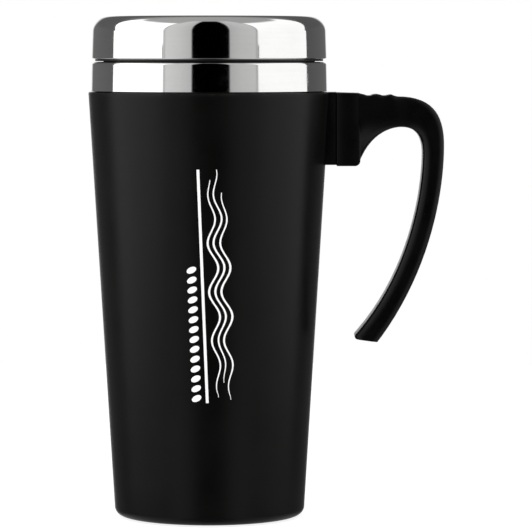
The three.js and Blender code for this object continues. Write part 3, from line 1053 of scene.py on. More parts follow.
@dataclass
class FrontPrint:
    """A plain white motif up the shell's front: a long rule between wisps of steam and coffee beans."""

    rule_low: float = 43.5
    rule_high: float = 124.0
    rule_middle: float = -1.71
    rule_width: float = 0.95
    lean: float = 2.18
    stand_off: float = 0.05
    wisp_width: float = 0.6
    wisp_swing: float = 1.75
    # Each wisp's distance from the rule, its lower end and its upper end.
    wisps: tuple[Point, ...] = ((3.9, 45.3, 120.3), (6.0, 50.3, 123.8), (8.1, 44.3, 115.8))
    bean_column: float = -3.6
    beans_low: float = 45.2
    beans_high: float = 89.6
    bean_count: int = 14
    bean_half: Station = (1.75, 1.05)
    bean_slant: float = 24.0
    # How far in front of the axis the motif is drawn, before it is laid on the shell.
    drawn_at: float = -60.0
    ink_depth: float = 0.04

    def _strip(
        self,
        name: str,
        middle: float,
        width: float,
        low: float,
        high: float,
        swing: float,
    ) -> bpy.types.Object:
        """A thin strip standing up in front of the shell, straight or waving.

        Args:
            name: the object's name.
            middle: its middle across the front.
            width: how wide it is.
            low: its lower end.
            high: its upper end.
            swing: how far it waves to each side.

        Returns:
            The flat object.
        """
        shortest_step, wave = 0.9, 17.0
        steps = max(8, int((high - low) / shortest_step))

        def across(i: int) -> float:
            """The strip's middle at a step, with the wave fading out at both ends."""
            part = i / steps
            fade = math.sin(math.pi * part) ** 0.5
            return middle + swing * fade * math.sin(2 * math.pi * (low + (high - low) * part) / wave)

        def wide(i: int) -> float:
            """The strip's width at a step; a waving one thins out at both ends."""
            part = i / steps
            thinnest, swell = 0.3, 0.9
            waving = thinnest + swell * math.sin(math.pi * part) ** 0.6
            return width if swing == 0.0 else width * waving

        rise = (high - low) / steps
        Vice.clear()
        start = (across(0) * MM, self.drawn_at * MM, (low + rise / 2) * MM)
        bpy.ops.mesh.primitive_plane_add(size=1.0, location=start, rotation=(math.pi / 2, 0.0, 0.0))
        piece = bpy.context.object
        piece.name = name
        Vice.open_whole()
        bpy.ops.transform.resize(value=(wide(0) * MM, 1.0, rise * MM), center_override=start)
        bpy.ops.object.mode_set(mode="OBJECT")
        Vice.settle(piece)
        bpy.ops.object.mode_set(mode="EDIT")
        top = (low + rise) * MM - 1e-6
        Vice.select(piece, "EDGE", lambda centre, run: centre.z > top)
        for i in range(1, steps):
            step = ((across(i) - across(i - 1)) * MM, 0.0, rise * MM)
            bpy.ops.mesh.extrude_region_move(TRANSFORM_OT_translate={"value": step})
            centre = (across(i) * MM, self.drawn_at * MM, (low + rise * (i + 1)) * MM)
            bpy.ops.transform.resize(value=(wide(i) / wide(i - 1), 1.0, 1.0), center_override=centre)
        bpy.ops.mesh.select_all(action="SELECT")
        bpy.ops.mesh.subdivide(number_cuts=1)
        bpy.ops.object.mode_set(mode="OBJECT")
        return piece

    def _beans(self) -> list[bpy.types.Object]:
        """A column of solid ovals, each set a little aslant.

        Returns:
            The flat objects.
        """
        place = (self.rule_middle + self.bean_column) * MM
        centre = (place, self.drawn_at * MM, self.beans_low * MM)
        Vice.clear()
        bpy.ops.mesh.primitive_circle_add(
            vertices=28,
            radius=self.bean_half[1] * MM,
            fill_type="TRIFAN",
            location=centre,
            rotation=(math.pi / 2, 0.0, 0.0),
        )
        first = bpy.context.object
        first.name = "print_bean"
        Vice.settle(first)
        Vice.open_whole()
        stretch = self.bean_half[0] / self.bean_half[1]
        bpy.ops.transform.resize(value=(stretch, 1.0, 1.0), center_override=centre)
        slant = math.radians(self.bean_slant)
        bpy.ops.transform.rotate(value=slant, orient_axis="Y", center_override=centre)
        bpy.ops.object.mode_set(mode="OBJECT")
        step = (self.beans_high - self.beans_low) / (self.bean_count - 1)
        return [first, *[Vice.copy(first, (0.0, 0.0, step * i)) for i in range(1, self.bean_count)]]

    def make(self, shell: bpy.types.Object) -> None:
        """Lays the motif on the shell.

        Args:
            shell: the finished shell it is printed on.
        """
        low, high = self.rule_low, self.rule_high
        rule = self._strip("front_print", self.rule_middle, self.rule_width, low, high, 0.0)
        wisps = [
            self._strip("wisp", self.rule_middle + away, self.wisp_width, start, end, self.wisp_swing)
            for away, start, end in self.wisps
        ]
        piece = Vice.join([rule, *wisps, *self._beans()])
        Vice.take(piece)
        Vice.open_whole()
        pivot = (self.rule_middle * MM, 0.0, (low + high) / 2 * MM)
        bpy.ops.transform.rotate(value=math.radians(self.lean), orient_axis="Y", center_override=pivot)
        bpy.ops.object.mode_set(mode="OBJECT")
        Vice.modify(
            piece,
            "SHRINKWRAP",
            target=shell,
            wrap_method="PROJECT",
            use_project_y=True,
            use_positive_direction=True,
            use_negative_direction=False,
            wrap_mode="ABOVE_SURFACE",
            offset=self.stand_off * MM,
        )
        Vice.modify(piece, "SOLIDIFY", thickness=self.ink_depth * MM, offset=-1.0)
        bpy.ops.object.mode_set(mode="EDIT")
        Vice.close_up()
        Vice.smooth(piece)
        hand_over(piece, Body.MUG, INK)


# ---- the steel cup and the neck ------------------------------------------------------------------------


@dataclass
class Cup:
    """The steel cup, its insulation and the polished band round its neck."""

    shell: Shell
    steel: float = 0.5
    inset: float = 7.2
    floor: float = 9.0
    corner: float = 5.0
    shoulder_low: float = 143.9
    shoulder_top: float = 147.9
    neck_radius: float = 38.9
    neck_top: float = 160.2
    band_low: float = 150.2
    band_top: float = 160.5
    band_radius: float = 41.6
    band_top_radius: float = 41.4
    band_wall: float = 0.6
    band_lip: float = 1.0
    band_inner: float = 39.3

    def _face(self, inset: float) -> list[Station]:
        """One face of the cup's wall, from the middle of its floor to its rim.

        Args:
            inset: how far inside the outer face it lies.

        Returns:
            The stations.
        """
        turn = self.floor + self.corner
        wall = self.shell.radius(turn) - self.inset
        upper = self.shell.radius(self.shoulder_low) - self.inset
        ease = 0.6
        return [
            (0.0, self.floor + inset),
            *arc(wall - self.corner, turn, self.corner - inset, -90, 0, 8),
            *[(self.shell.radius(z) - self.inset - inset, float(z)) for z in range(30, 140, 18)],
            (upper - inset, self.shoulder_low),
            (self.neck_radius - ease - inset, self.shoulder_top - ease),
            (self.neck_radius - inset, self.shoulder_top + ease),
            (self.neck_radius - inset, self.neck_top),
        ]

    def make_liner(self) -> None:
        """The cup itself, brushed inside and out."""
        piece = turned("steel_cup", [*self._face(0.0), *reversed(self._face(self.steel))])
        Vice.smooth(piece, 35.0)
        hand_over(piece, Body.MUG, BRUSHED, "inner_liner")

    def make_band(self) -> None:
        """The polished band, rolled over at its top."""
        lip_x = self.band_top_radius - self.band_lip
        lip_z = self.band_top - self.band_lip
        piece = turned(
            "neck_band",
            [
                (self.band_inner, self.band_low),
                (self.band_radius - 0.15, self.band_low),
                (self.band_radius, self.band_low + 0.15),
                *arc(lip_x, lip_z, self.band_lip, 0, 90, 8),
                (self.band_inner, self.band_top),
                (self.band_inner, self.band_top - self.band_wall),
                *arc(lip_x, lip_z, self.band_lip - self.band_wall, 90, 0, 5),
                (self.band_radius - self.band_wall, self.band_low + self.band_wall),
                (self.band_inner, self.band_low + self.band_wall),
            ],
            192,
        )
        Vice.smooth(piece)
        hand_over(piece, Body.MUG, POLISHED, "steel_collar")

    def dress_insulation(self, nodes: dict[str, bpy.types.Object]) -> None:
        """Gives the sealed-in pieces their finishes.

        Args:
            nodes: the CAD nodes by name.
        """
        dress(nodes["insulation_sleeve"], FOAM)
        dress(nodes["insulation_disc"], FOAM)
        dress(nodes["neck_seal"], RUBBER)


def dress(node: bpy.types.Object, finish: Finish) -> None:
    """Gives a CAD node a finish.

    Args:
        node: the node's object, whose mesh is left alone.
        finish: what it is made of.
    """
    if not node.material_slots:
        node.data.materials.append(None)
    for place in node.material_slots:
        place.material = finish.make()
    log.info("dressed %s in %s", node.name, finish.name)


# ---- the handle ----------------------------------------------------------------------------------------


@dataclass
class Handle:
    """The open C-shaped handle, the saddle behind it and its hidden screws."""

    shell: Shell
    root_half: float = 7.52
    half_width: float = 6.7
    # Roundings reach this many times further across the C than into its width.
    crown: float = 2.5
    edge_out: float = 2.4
    edge_in: float = 3.4
    root_edge: Station = (1.2, 10.0)
    tip_edge: float = 0.4
    # From how far out to how far out the arm narrows, and its long edges grow rounder.
    narrowing: Station = (54.0, 70.0)
    rounding: Station = (53.0, 68.0)
    block_low: Point = (44.7, -7.5, 124.0)
    block_high: Point = (53.1, 7.5, 149.8)
    block_corner: float = 1.9
    block_fall: float = 0.25
    block_edge: float = 0.45
    saddle_outer: float = 44.4
    saddle_half: float = 6.6
    saddle_low: float = 124.4
    saddle_high: float = 149.9
    thumb_rest: tuple[Station, ...] = (
        (52.2, 149.5),
        (53.4, 149.33),
        (54.6, 149.05),
        (55.6, 148.7),
        (56.7, 148.7),
        (57.7, 149.1),
        (58.8, 149.25),
        (59.9, 149.05),
        (61.0, 148.7),
        (62.0, 148.7),
        (63.1, 148.95),
        (64.1, 149.08),
        (65.2, 148.62),
        (66.4, 148.3),
    )
    under_arm: Bezier = Bezier(((52.4, 124.3), (56.5, 136.0), (64.4, 137.7), (67.6, 137.7)))
    bend_out: Bezier = Bezier(((66.4, 148.3), (79.8, 148.5), (82.5, 140.3), (82.5, 131.0)))
    bend_in: Bezier = Bezier(((67.6, 137.7), (75.1, 137.7), (75.1, 130.4), (75.1, 128.0)))
    grip_out: Bezier = Bezier(((82.5, 131.0), (82.5, 116.0), (78.4, 88.5), (60.6, 63.9)))
    grip_in: Bezier = Bezier(((75.1, 128.0), (75.1, 118.2), (72.2, 88.8), (52.1, 65.3)))
    # The tip's inner corner is round, and the outer points of its sections run from tip_high to tip_out.
    tip_high: Station = (60.2, 63.38)
    tip_out: Station = (59.15, 62.05)
    tip_centre: Station = (52.25, 63.95)
    tip_radius: float = 1.0
    tip_turn: Station = (138.7, 261.4)

    def _sections(self) -> list[tuple[Vector, Vector]]:
        """The outer and inner point of each cross-section, from the root to the tip.

        Returns:
            Pairs of points in the side view.
        """
        last = len(self.thumb_rest) - 1
        pairs = [(Vector(p), self.under_arm.at(i / last)) for i, p in enumerate(self.thumb_rest)]
        pairs += [(self.bend_out.at(i / 16), self.bend_in.at(i / 16)) for i in range(1, 17)]
        pairs += [(self.grip_out.at(i / 20), self.grip_in.at(i / 20)) for i in range(1, 21)]
        steps = 5
        for i, inner in enumerate(arc(*self.tip_centre, self.tip_radius, *self.tip_turn, steps)):
            pairs.append((Vector(self.tip_high).lerp(Vector(self.tip_out), i / steps), Vector(inner)))
        return pairs

    def _arm(self) -> bpy.types.Object:
        """The arm and the grip: one four-sided section that is extruded, turned and fitted along the C.

        Returns:
            The object.
        """
        pairs = self._sections()

        def facts(pair: tuple[Vector, Vector]) -> tuple[Vector, float, float, float]:
            """A section's middle, its thickness, its half width and its tilt from upright."""
            run = pair[0] - pair[1]
            middle = (pair[0] + pair[1]) / 2
            narrowed = share(pair[0].x, *self.narrowing)
            half = (self.root_half + (self.half_width - self.root_half) * narrowed) * self.crown
            return Vector((middle.x, 0.0, middle.y)) * MM, run.length, half, math.atan2(run.x, run.y)

        middle, thick, half, tilt = facts(pairs[0])
        Vice.clear()
        bpy.ops.mesh.primitive_plane_add(size=1.0, location=middle, rotation=(0.0, math.pi / 2, 0.0))
        piece = bpy.context.object
        piece.name = "grip"
        Vice.open_whole()
        bpy.ops.transform.resize(value=(1.0, 2 * half * MM, thick * MM), center_override=middle)
        turn_section(tilt, middle)
        for pair in pairs[1:]:
            next_middle, next_thick, next_half, next_tilt = facts(pair)
            bpy.ops.mesh.extrude_region_move(TRANSFORM_OT_translate={"value": next_middle - middle})
            turn_section(-tilt, next_middle)
            grow = (1.0, next_half / half, next_thick / thick)
            bpy.ops.transform.resize(value=grow, center_override=next_middle)
            turn_section(next_tilt, next_middle)
            middle, thick, half, tilt = next_middle, next_thick, next_half, next_tilt
        Vice.close_up()
        Vice.settle(piece)
        Vice.soften_each(piece, self.root_edge[1], 8, self._long_edge)
        Vice.soften(piece, self.tip_edge, 3)
        piece.scale.y = 1.0 / self.crown
        Vice.settle(piece)
        return piece

    def _long_edge(self, middle: Vector, run: Vector) -> float:
        """The rounding of an edge along the arm: slight on top of the root and wide under it.

        Args:
            middle: the edge's middle.
            run: from its one end to the other.

        Returns:
            The rounding in millimetres, 0 for an edge across the arm.
        """
        shortest_section = 5.5
        if abs(run.y) > 0.5 or run.length > shortest_section:
            return 0.0
        arm_top, grip_top = 143.0, 120.0
        on_top = middle.z > arm_top
        grown = share(middle.x, *self.rounding) if middle.z > grip_top else 1.0
        grown = grown * grown * (3.0 - 2.0 * grown)
        root = self.root_edge[0] if on_top else self.root_edge[1]
        place = Vector((middle.x, middle.z))
        pairs = self._sections()
        out_there, in_there = (min((place - pair[side]).length for pair in pairs) for side in (0, 1))
        edge = self.edge_out if out_there < in_there else self.edge_in
        return root + (edge - root) * grown

    def make_handle(self) -> None:
        """The handle: its block and its arm as one moulding."""
        root = boxed("handle_block", self.block_low, self.block_high)
        Vice.take(root)
        bpy.ops.object.mode_set(mode="EDIT")
        near = 0.1
        edge_x, edge_z = (self.block_high[0] - near) * MM, (self.block_low[2] + near) * MM
        Vice.select(root, "EDGE", lambda centre, run: centre.x > edge_x and centre.z < edge_z)
        bpy.ops.mesh.bevel(offset=self.block_corner * MM, segments=6, affect="EDGES")
        # The top falls a little towards the thumb rest.
        top_z = (self.block_high[2] - near) * MM
        Vice.select(root, "EDGE", lambda centre, run: centre.x > edge_x and centre.z > top_z)
        bpy.ops.transform.translate(value=(0.0, 0.0, -self.block_fall * MM))
        bpy.ops.object.mode_set(mode="OBJECT")
        Vice.soften(root, self.block_edge, 3, 50.0)
        piece = Vice.join([self._arm(), root])
        piece.name = "handle_grip"
        Vice.smooth(piece, 25.0)
        hand_over(piece, Body.MUG, HANDLE_PLASTIC, "handle")

    def make_saddle(self) -> None:
        """The packing piece whose back follows the shell."""
        piece = boxed(
            "saddle",
            (36.0, -self.saddle_half, self.saddle_low),
            (self.saddle_outer + 0.5, self.saddle_half, self.saddle_high),
            0.25,
        )
        past, sunk = 5.0, 0.2
        low, high = self.saddle_low - past, self.saddle_high + past
        space = [
            (0.0, low),
            (self.shell.radius(low) - sunk, low),
            (self.shell.radius(high) - sunk, high),
            (0.0, high),
        ]
        Vice.cut(piece, [turned("shell_space", space)])
        Vice.smooth(piece, 25.0)
        hand_over(piece, Body.MUG, HANDLE_PLASTIC, "handle_saddle")

    def dress_screws(self, nodes: dict[str, bpy.types.Object]) -> None:
        """Gives the hidden screws and washers their plating.

        Args:
            nodes: the CAD nodes by name.
        """
        for name, node in nodes.items():
            if name.startswith(("handle_screw", "handle_washer")):
                dress(node, ZINC)


def turn_section(angle: float, centre: Vector) -> None:
    """Leans the selected section away from upright, towards +X.

    Args:
        angle: how far, in radians.
        centre: the point it turns about.
    """
    bpy.ops.transform.rotate(value=-angle, orient_axis="Y", center_override=centre)


# ---- the lid -------------------------------------------------------------------------------------------


@dataclass
class Lid:
    """The push-in lid: a polished cap over a plastic deck, on a plug that carries the seal."""

    height: float = 176.5
    cover_low: float = 161.5
    cover_radius: float = 41.4
    shoulder_radius: float = 41.1
    wall: float = 0.6
    rounding: float = 5.5
    mouth: float = 31.8
    skirt: float = 40.1
    skirt_wall: float = 1.7
    skirt_low: float = 160.8
    dish_floor: float = 171.8
    dish_radius: float = 29.2
    plate: float = 2.0
    plug_radius: float = 37.2
    plug_low: float = 150.3
    plug_wall: float = 1.6
    groove_low: float = 153.3
    groove_high: float = 158.3
    groove_radius: float = 35.6
    seal_reach: float = 38.2
    hole_y: float = -22.0
    hole_half: Station = (7.2, 3.2)
    vent_y: float = 26.0
    vent_radius: float = 1.2
    # How thick the walls of the two tubes are.
    hole_tube: float = 1.4
    vent_tube: float = 1.3
    slot_half: float = 1.9
    slot_front: float = -10.3
    slot_back: float = 5.9
    rail: Station = (10.3, 12.4)

    def make_cover(self) -> None:
        """The polished cap, with its rolled mouth."""
        x, z = self.shoulder_radius - self.rounding, self.height - self.rounding
        lip = 0.8
        outside = [(self.cover_radius - 0.4, self.cover_low)]
        outside += arc(self.cover_radius - 0.5, self.cover_low + 0.5, 0.5, -90, 0, 6)[1:]
        outside += arc(x, z, self.rounding, 0, 90, 20)
        outside += arc(self.mouth + lip, self.height - lip, lip, 90, 180, 8)
        inside = [
            (self.mouth, self.height - 2.1),
            (self.mouth + self.wall, self.height - 2.1),
            (self.mouth + self.wall, self.height - lip),
            (self.mouth + lip, self.height - self.wall),
            *arc(x, z, self.rounding - self.wall, 90, 0, 8),
            (self.cover_radius - self.wall, self.cover_low),
        ]
        piece = turned("lid_cap", [*outside, *inside], 192)
        Vice.smooth(piece)
        hand_over(piece, Body.LID, POLISHED, "lid_cover")

    def _hole(self, low: float, high: float, margin: float = 0.0) -> bpy.types.Object:
        """A plate the shape of the drink hole.

        Args:
            low: its underside.
            high: its top.
            margin: how much larger than the hole it is.

        Returns:
            The object.
        """
        half = (self.hole_half[0] + margin, self.hole_half[1] + margin)
        return slab("drink_hole", (0.0, self.hole_y), half, half[1], low, high)

    def _rod(self, radius: float, low: float, high: float) -> bpy.types.Object:
        """An upright rod where the vent is.

        Args:
            radius: its radius.
            low: its lower end.
            high: its upper end.

        Returns:
            The object.
        """
        half = (radius, radius)
        return slab("vent_rod", (0.0, self.vent_y), half, radius, low, high, 6)

    def make_deck(self) -> None:
        """The plastic deck: its dish and skirt, the drink hole, the vent, and the gate's slot and rails."""
        x, z = self.shoulder_radius - self.rounding, self.height - self.rounding
        outer, inner = self.skirt - x, self.skirt - x - self.skirt_wall
        rim, rim_top = self.mouth - GAP, self.height - 0.9
        lip_floor, lip = self.height - 2.4, self.mouth + self.wall + GAP
        under = self.dish_floor - self.plate
        dish = turned(
            "lid_top",
            [
                (0.0, self.dish_floor),
                (20.0, self.dish_floor),
                (self.dish_radius - 0.6, self.dish_floor),
                (self.dish_radius + 0.35, self.dish_floor + 0.35),
                (self.dish_radius + 0.8, self.dish_floor + 1.1),
                (rim - 0.4, rim_top),
                (rim, rim_top - 0.3),
                (rim, lip_floor),
                (lip, lip_floor),
                (lip, z + outer),
                *arc(x, z, outer, 90, 0, 8),
                (self.skirt, self.skirt_low),
                (self.skirt - self.skirt_wall, self.skirt_low),
                *arc(x, z, inner, 0, 90, 6),
                (lip - 0.2, lip_floor - 1.6),
                (self.dish_radius + 1.2, under),
                (0.0, under),
            ],
        )
        slot_low = (-self.slot_half, self.slot_front, under - 1.0)
        slot_high = (self.slot_half, self.slot_back, self.dish_floor + 1.0)
        spaces = [
            self._hole(under - 1.0, self.dish_floor + 1.0),
            self._rod(self.vent_radius, under - 1.0, self.dish_floor + 1.0),
            boxed("slot_space", slot_low, slot_high),
        ]
        Vice.cut(dish, spaces)
        Vice.soften(dish, 0.18, 2, 60.0)
        piece = Vice.join([dish, *[self._rail(side) for side in (1.0, -1.0)]])
        Vice.smooth(piece)
        hand_over(piece, Body.LID, LID_PLASTIC, "lid_deck")

    def _rail(self, side: float) -> bpy.types.Object:
        """A guide beside the gate: a wall whose top is drawn inwards over the gate's edge.

        Args:
            side: 1 for the handle's side, -1 for the other.

        Returns:
            The object.
        """
        front, back, top, lip_low, lip_reach = -13.0, 20.0, 175.9, 175.0, 1.1
        inner, outer = self.rail
        near, far = sorted((side * inner, side * outer))
        rail = boxed("gate_rail", (near, front, self.dish_floor - 0.5), (far, back, top))
        Vice.take(rail)
        Vice.open_whole()
        cut_at = (0.0, 0.0, lip_low * MM)
        bpy.ops.mesh.bisect(plane_co=cut_at, plane_no=(0.0, 0.0, 1.0))
        Vice.select(
            rail,
            "FACE",
            lambda centre, normal: centre.z > lip_low * MM and normal.x * side < -0.9,
        )
        inwards = {"value": (-side * lip_reach * MM, 0.0, 0.0)}
        bpy.ops.mesh.extrude_region_move(TRANSFORM_OT_translate=inwards)
        Vice.close_up()
        Vice.soften(rail, 0.3, 3)
        return rail

    def make_plug(self) -> None:
        """The plug below the deck, with the drink channel and the vent tube."""
        socket = self.skirt - self.skirt_wall - GAP
        top = self.dish_floor - self.plate - GAP
        floor_top = self.plug_low + self.plug_wall
        inner = self.groove_radius - self.plug_wall
        cup = turned(
            "lid_plug_body",
            [
                (0.0, self.plug_low),
                *arc(self.plug_radius - 1.0, self.plug_low + 1.0, 1.0, -90, 0, 5),
                (self.plug_radius, self.groove_low),
                (self.groove_radius, self.groove_low),
                (self.groove_radius, self.groove_high),
                (self.plug_radius, self.groove_high),
                (self.plug_radius, self.skirt_low),
                (socket, self.skirt_low + 0.5),
                (socket, self.cover_low + 3.7),
                (socket - self.plug_wall, self.cover_low + 3.7),
                (inner, self.groove_high + 1.0),
                (inner, floor_top),
                (0.0, floor_top),
            ],
        )
        tubes = [
            self._hole(floor_top - 0.5, top, self.hole_tube),
            self._rod(self.vent_radius + self.vent_tube, floor_top - 0.5, top),
        ]
        Vice.cut(cup, tubes, "UNION")
        channels = [
            self._hole(self.plug_low - 1.0, top + 1.0),
            self._rod(self.vent_radius, self.plug_low - 1.0, top + 1.0),
        ]
        Vice.cut(cup, channels)
        Vice.soften(cup, 0.18, 2, 60.0)
        Vice.smooth(cup)
        hand_over(cup, Body.LID, LID_PLASTIC, "lid_plug")

    def make_seal(self) -> None:
        """The silicone ring, with three fins that press on the neck."""
        low, high = self.groove_low + GAP, self.groove_high - GAP
        root = self.plug_radius - 0.2
        pitch = (high - low) / 3
        stations = [(self.groove_radius + GAP, low)]
        for i in range(3):
            z = low + pitch * i
            stations += [
                (root, z + 0.1 * pitch),
                (self.seal_reach - 0.2, z + 0.4 * pitch),
                (self.seal_reach, z + 0.55 * pitch),
                (self.seal_reach - 0.1, z + 0.7 * pitch),
                (root, z + 0.85 * pitch),
            ]
        stations.append((self.groove_radius + GAP, high))
        piece = turned("plug_ring", stations)
        Vice.smooth(piece, 50.0)
        hand_over(piece, Body.SEAL, SILICONE, "lid_seal")


@dataclass
class DrinkGate:
    """The gate over the drink hole, its silicone pad and the clip that holds it below the deck."""

    front: float = -28.0
    back: float = 10.0
    half_width: float = 10.0
    corner: float = 6.0
    low: float = 173.3
    plate_top: float = 174.7
    top: float = 176.2
    stem_y: float = -8.2
    stem_half: Station = (1.6, 1.7)
    stem_low: float = 167.8
    pad_half: Station = (6.0, 7.0)
    pad_corner: float = 2.5
    pad_dish: float = 0.35
    rib_half: float = 4.8
    rib_count: int = 5
    rib_pitch: float = 2.2
    clip_half: float = 4.5
    clip_low: float = 168.3
    clip_high: float = 169.5

    def make_gate(self) -> None:
        """The gate: a rounded plate, a raised thumb pad with ribs, and the stem through the slot."""
        middle = (self.front + self.back) / 2
        plate = slab(
            "gate_slide",
            (0.0, middle),
            (self.half_width, (self.back - self.front) / 2),
            self.corner,
            self.low,
            self.plate_top,
        )
        Vice.soften(plate, 0.35, 3)
        pad_centre, pad_low, pad_high = (0.0, self.stem_y + 2.0), self.plate_top - 0.3, self.top - 0.6
        pad = slab("thumb_pad", pad_centre, self.pad_half, self.pad_corner, pad_low, pad_high)
        # The pad's top is dished for the thumb.
        Vice.take(pad)
        bpy.ops.object.mode_set(mode="EDIT")
        pad_top = (self.top - 0.7) * MM
        Vice.select(pad, "FACE", lambda centre, normal: centre.z > pad_top and normal.z > 0.9)
        bpy.ops.mesh.inset(thickness=0.7 * MM)
        bpy.ops.transform.translate(value=(0.0, 0.0, -self.pad_dish * MM))
        Vice.close_up()
        Vice.soften(pad, 0.25, 3)
        rib_low = (-self.rib_half, self.stem_y - 3.0, self.plate_top)
        rib_high = (self.rib_half, self.stem_y - 2.1, self.top)
        rib = boxed("thumb_rib", rib_low, rib_high, 0.35)
        ribs = [rib, *[Vice.copy(rib, (0.0, self.rib_pitch * i, 0.0)) for i in range(1, self.rib_count)]]
        half_x, half_y = self.stem_half
        stem = boxed(
            "gate_stem",
            (-half_x, self.stem_y - half_y, self.stem_low),
            (half_x, self.stem_y + half_y, self.low + 0.5),
            0.2,
            2,
        )
        piece = Vice.join([plate, pad, *ribs, stem])
        Vice.smooth(piece)
        hand_over(piece, Body.GATE, GATE_PLASTIC, "drink_gate")

    def make_pad(self, lid: Lid) -> None:
        """The silicone pad that closes the drink hole.

        Args:
            lid: the lid whose hole it covers.
        """
        overlap = 1.6
        half = (lid.hole_half[0] + overlap, lid.hole_half[1] + overlap)
        piece = slab("gate_pad", (0.0, lid.hole_y), half, half[1], lid.dish_floor + GAP, self.low - GAP)
        Vice.soften(piece, 0.25, 3)
        Vice.smooth(piece)
        hand_over(piece, Body.GATE, SILICONE, "gate_seal")

    def make_clip(self) -> None:
        """The square clip pressed on to the stem from below."""
        half = self.clip_half
        low = (-half, self.stem_y - half, self.clip_low)
        high = (half, self.stem_y + half, self.clip_high)
        piece = boxed("stem_clip", low, high)
        half_x, half_y = (side + GAP for side in self.stem_half)
        space = boxed(
            "stem_space",
            (-half_x, self.stem_y - half_y, self.clip_low - 1.0),
            (half_x, self.stem_y + half_y, self.clip_high + 1.0),
        )
        Vice.cut(piece, [space])
        Vice.soften(piece, 0.2, 2)
        Vice.smooth(piece)
        hand_over(piece, Body.GATE, LID_PLASTIC, "gate_clip")


# ---- the studio ----------------------------------------------------------------------------------------


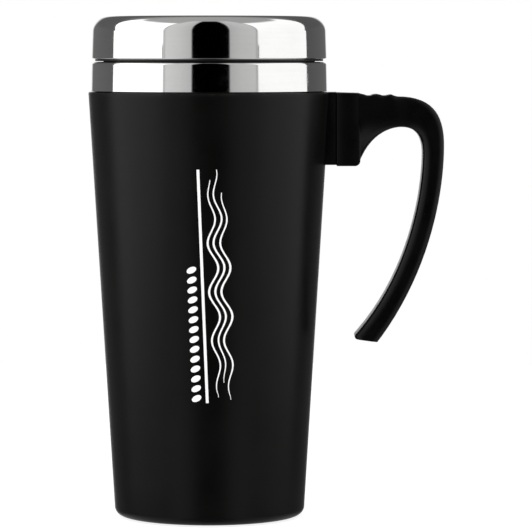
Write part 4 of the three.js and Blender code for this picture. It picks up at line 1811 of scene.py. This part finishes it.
@dataclass
class Studio:
    """A pale floor, a white room with softboxes at both sides, and the camera."""

    eye: Point = (20.0, -1240.0, 166.0)
    target: Point = (20.0, 0.0, 88.5)
    lens: float = 238.0
    floor_half: float = 600.0
    # Degrees from the camera's side of the room, and how bright the room is there.
    room: tuple[tuple[float, float], ...] = (
        (0.0, 0.0),
        (18.0, 0.0),
        (18.8, 0.49),
        (30.0, 0.58),
        (44.6, 0.64),
        (45.4, 0.44),
        (46.6, 0.44),
        (47.4, 1.3),
        (106.5, 1.3),
        (107.5, 0.1),
        (160.0, 0.14),
        (168.0, 1.0),
        (180.0, 1.0),
    )
    room_turn: float = 2.4
    left_lift: float = 0.12
    panel_reach: float = 900.0
    panel_turn: float = 77.1
    panel_half: float = 520.0
    panel_low: float = -100.0
    panel_high: float = 260.0
    low_level: float = 0.14
    # The ceiling's brightness near the walls and straight overhead.
    ceiling: Station = (0.1, 0.39)
    wall_level: float = 1.3
    panel_start: float = 46.8
    panel_end: float = 107.1
    key_place: Point = (-100.0, -1200.0, 700.0)
    key_aim: Point = (0.0, 0.0, 80.0)
    key_size: float = 900.0
    key_power: float = 9.0

    def make_floor(self) -> None:
        """The floor the mug stands on, a flat round disc."""
        Vice.clear()
        bpy.ops.mesh.primitive_circle_add(
            vertices=96,
            radius=self.floor_half * MM,
            fill_type="TRIFAN",
            location=(0.0, 0.0, -0.0002),
        )
        floor = bpy.context.object
        floor.name = "studio_floor"
        Vice.settle(floor)
        floor.data.materials.append(StudioFloor("studio_floor_finish", None).make())
        floor.visible_glossy = False

    def light_room(self) -> None:
        """The room's light: bright at both sides, dark behind the camera, white where it is seen."""
        world = bpy.data.worlds.new("studio_room")
        world.use_nodes = True
        bpy.context.scene.world = world
        bench = NodeBench(world.node_tree)
        direction = bench.node("ShaderNodeTexCoord").outputs["Generated"]
        x, y, z = bench.parts(direction)
        turn = abs(x.angle_from(-y) - math.radians(self.room_turn)) / math.pi
        stops = [(angle / 180.0, (level,) * 3) for angle, level in self.room]
        # The softboxes lean back, so that higher up their fronts reach further round.
        rise = z.between(0.0, 1.0, smooth=False)
        far = (self.panel_end - 0.1) / 180.0 + rise * rise * 0.3
        lit = turn.between(0.5, 0.505) * (far - turn).between(0.0, 0.005) * z.between(0.88, 0.79)
        walls = bench.mix(lit, bench.ramp(turn, stops), (self.wall_level,) * 3)
        above = bench.mix(z.between(0.6, 0.9), (self.ceiling[0],) * 3, (self.ceiling[1],) * 3)
        behind = turn.between(0.6, 0.68) * z.between(0.12, 0.3) * (1.0 - lit)
        front = z.between(0.955, 0.99)
        side = z.between(0.79, 0.88) * turn.between(0.22, 0.27)
        over = 1.0 - (1.0 - front) * (1.0 - side) * (1.0 - behind)
        upper = bench.mix(over, walls, above)
        # Below the softboxes the walls are dim, down to the shaded floor round the mug.
        fade = 0.6 / 180.0
        start, end = self.panel_start / 180.0, self.panel_end / 180.0
        panels = turn.between(start, start + fade) * turn.between(end, end - fade)
        lower = bench.mix(z.between(-0.005, -0.02) * panels, upper, (self.low_level,) * 3)
        floor = bench.mix(turn.between(0.1, 0.25), (0.1, 0.1, 0.1), (0.6, 0.6, 0.6))
        colour = bench.mix(z.between(-0.3, -0.55), lower, floor)
        seen = Value(bench, bench.node("ShaderNodeLightPath").outputs["Is Camera Ray"])
        shown = bench.mix(seen, colour, WHITE)
        strength = 1.0 - x * (1.0 - seen) * self.left_lift
        room = bench.node("ShaderNodeBackground", None, {"Color": shown, "Strength": strength})
        bench.node("ShaderNodeOutputWorld", None, {"Surface": room.outputs["Background"]})

    def add_panels(self) -> None:
        """The two softboxes' fronts, which carry the bright walls down past the mug's foot."""
        for side in (1.0, -1.0):
            turn = math.radians(side * self.panel_turn + self.room_turn)
            reach = self.panel_reach * MM
            height = (self.panel_low + self.panel_high) / 2 * MM
            centre = Vector((math.sin(turn) * reach, -math.cos(turn) * reach, height))
            Vice.clear()
            bpy.ops.mesh.primitive_plane_add(size=1.0, location=centre, rotation=(math.pi / 2, 0.0, turn))
            panel = bpy.context.object
            panel.name = "softbox_right" if side > 0 else "softbox_left"
            panel.scale = (2 * self.panel_half * MM, (self.panel_high - self.panel_low) * MM, 1.0)
            Vice.settle(panel)
            level = self.wall_level * (1.0 - side * self.left_lift)
            panel.data.materials.append(SoftboxFront(panel.name, None, level).make())
            panel.visible_camera = False
            panel.visible_shadow = False

    def add_key(self) -> None:
        """A broad soft light above the camera, which lights colours but leaves no glint."""
        Vice.clear()
        place = Vector(self.key_place) * MM
        bpy.ops.object.light_add(type="AREA", location=place)
        key = bpy.context.object
        key.name = "key_light"
        key.data.shape = "DISK"
        key.data.size = self.key_size * MM
        key.data.energy = self.key_power
        aim = Vector(self.key_aim) * MM - place
        key.rotation_euler = aim.to_track_quat("-Z", "Y").to_euler()
        key.visible_glossy = False
        key.visible_camera = False

    def set_camera(self) -> None:
        """The camera at eye level beyond the mug's front."""
        data = bpy.data.cameras.new("studio_camera")
        data.lens = self.lens
        data.sensor_width = 36.0
        data.clip_start = 0.05
        camera = bpy.data.objects.new("studio_camera", data)
        bpy.context.scene.collection.objects.link(camera)
        eye, target = Vector(self.eye) * MM, Vector(self.target) * MM
        camera.location = eye
        camera.rotation_euler = (target - eye).to_track_quat("-Z", "Y").to_euler()
        bpy.context.scene.camera = camera
        bpy.context.scene.view_settings.view_transform = "Standard"


def main() -> None:
    """Builds the mug, sub-assembly by sub-assembly, and then its studio."""
    logging.basicConfig(level=logging.INFO, format="%(message)s")
    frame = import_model()
    nodes = frame["nodes"]

    shell = Shell()
    body = shell.make_shell()
    shell.make_foot()
    FrontPrint().make(body)

    cup = Cup(shell)
    cup.make_liner()
    cup.make_band()
    cup.dress_insulation(nodes)

    handle = Handle(shell)
    handle.make_handle()
    handle.make_saddle()
    handle.dress_screws(nodes)

    lid = Lid()
    lid.make_cover()
    lid.make_deck()
    lid.make_plug()
    lid.make_seal()

    gate = DrinkGate()
    gate.make_gate()
    gate.make_pad(lid)
    gate.make_clip()

    studio = Studio()
    studio.make_floor()
    studio.light_room()
    studio.add_panels()
    studio.add_key()
    studio.set_camera()


if __name__ == "__main__":
    main()
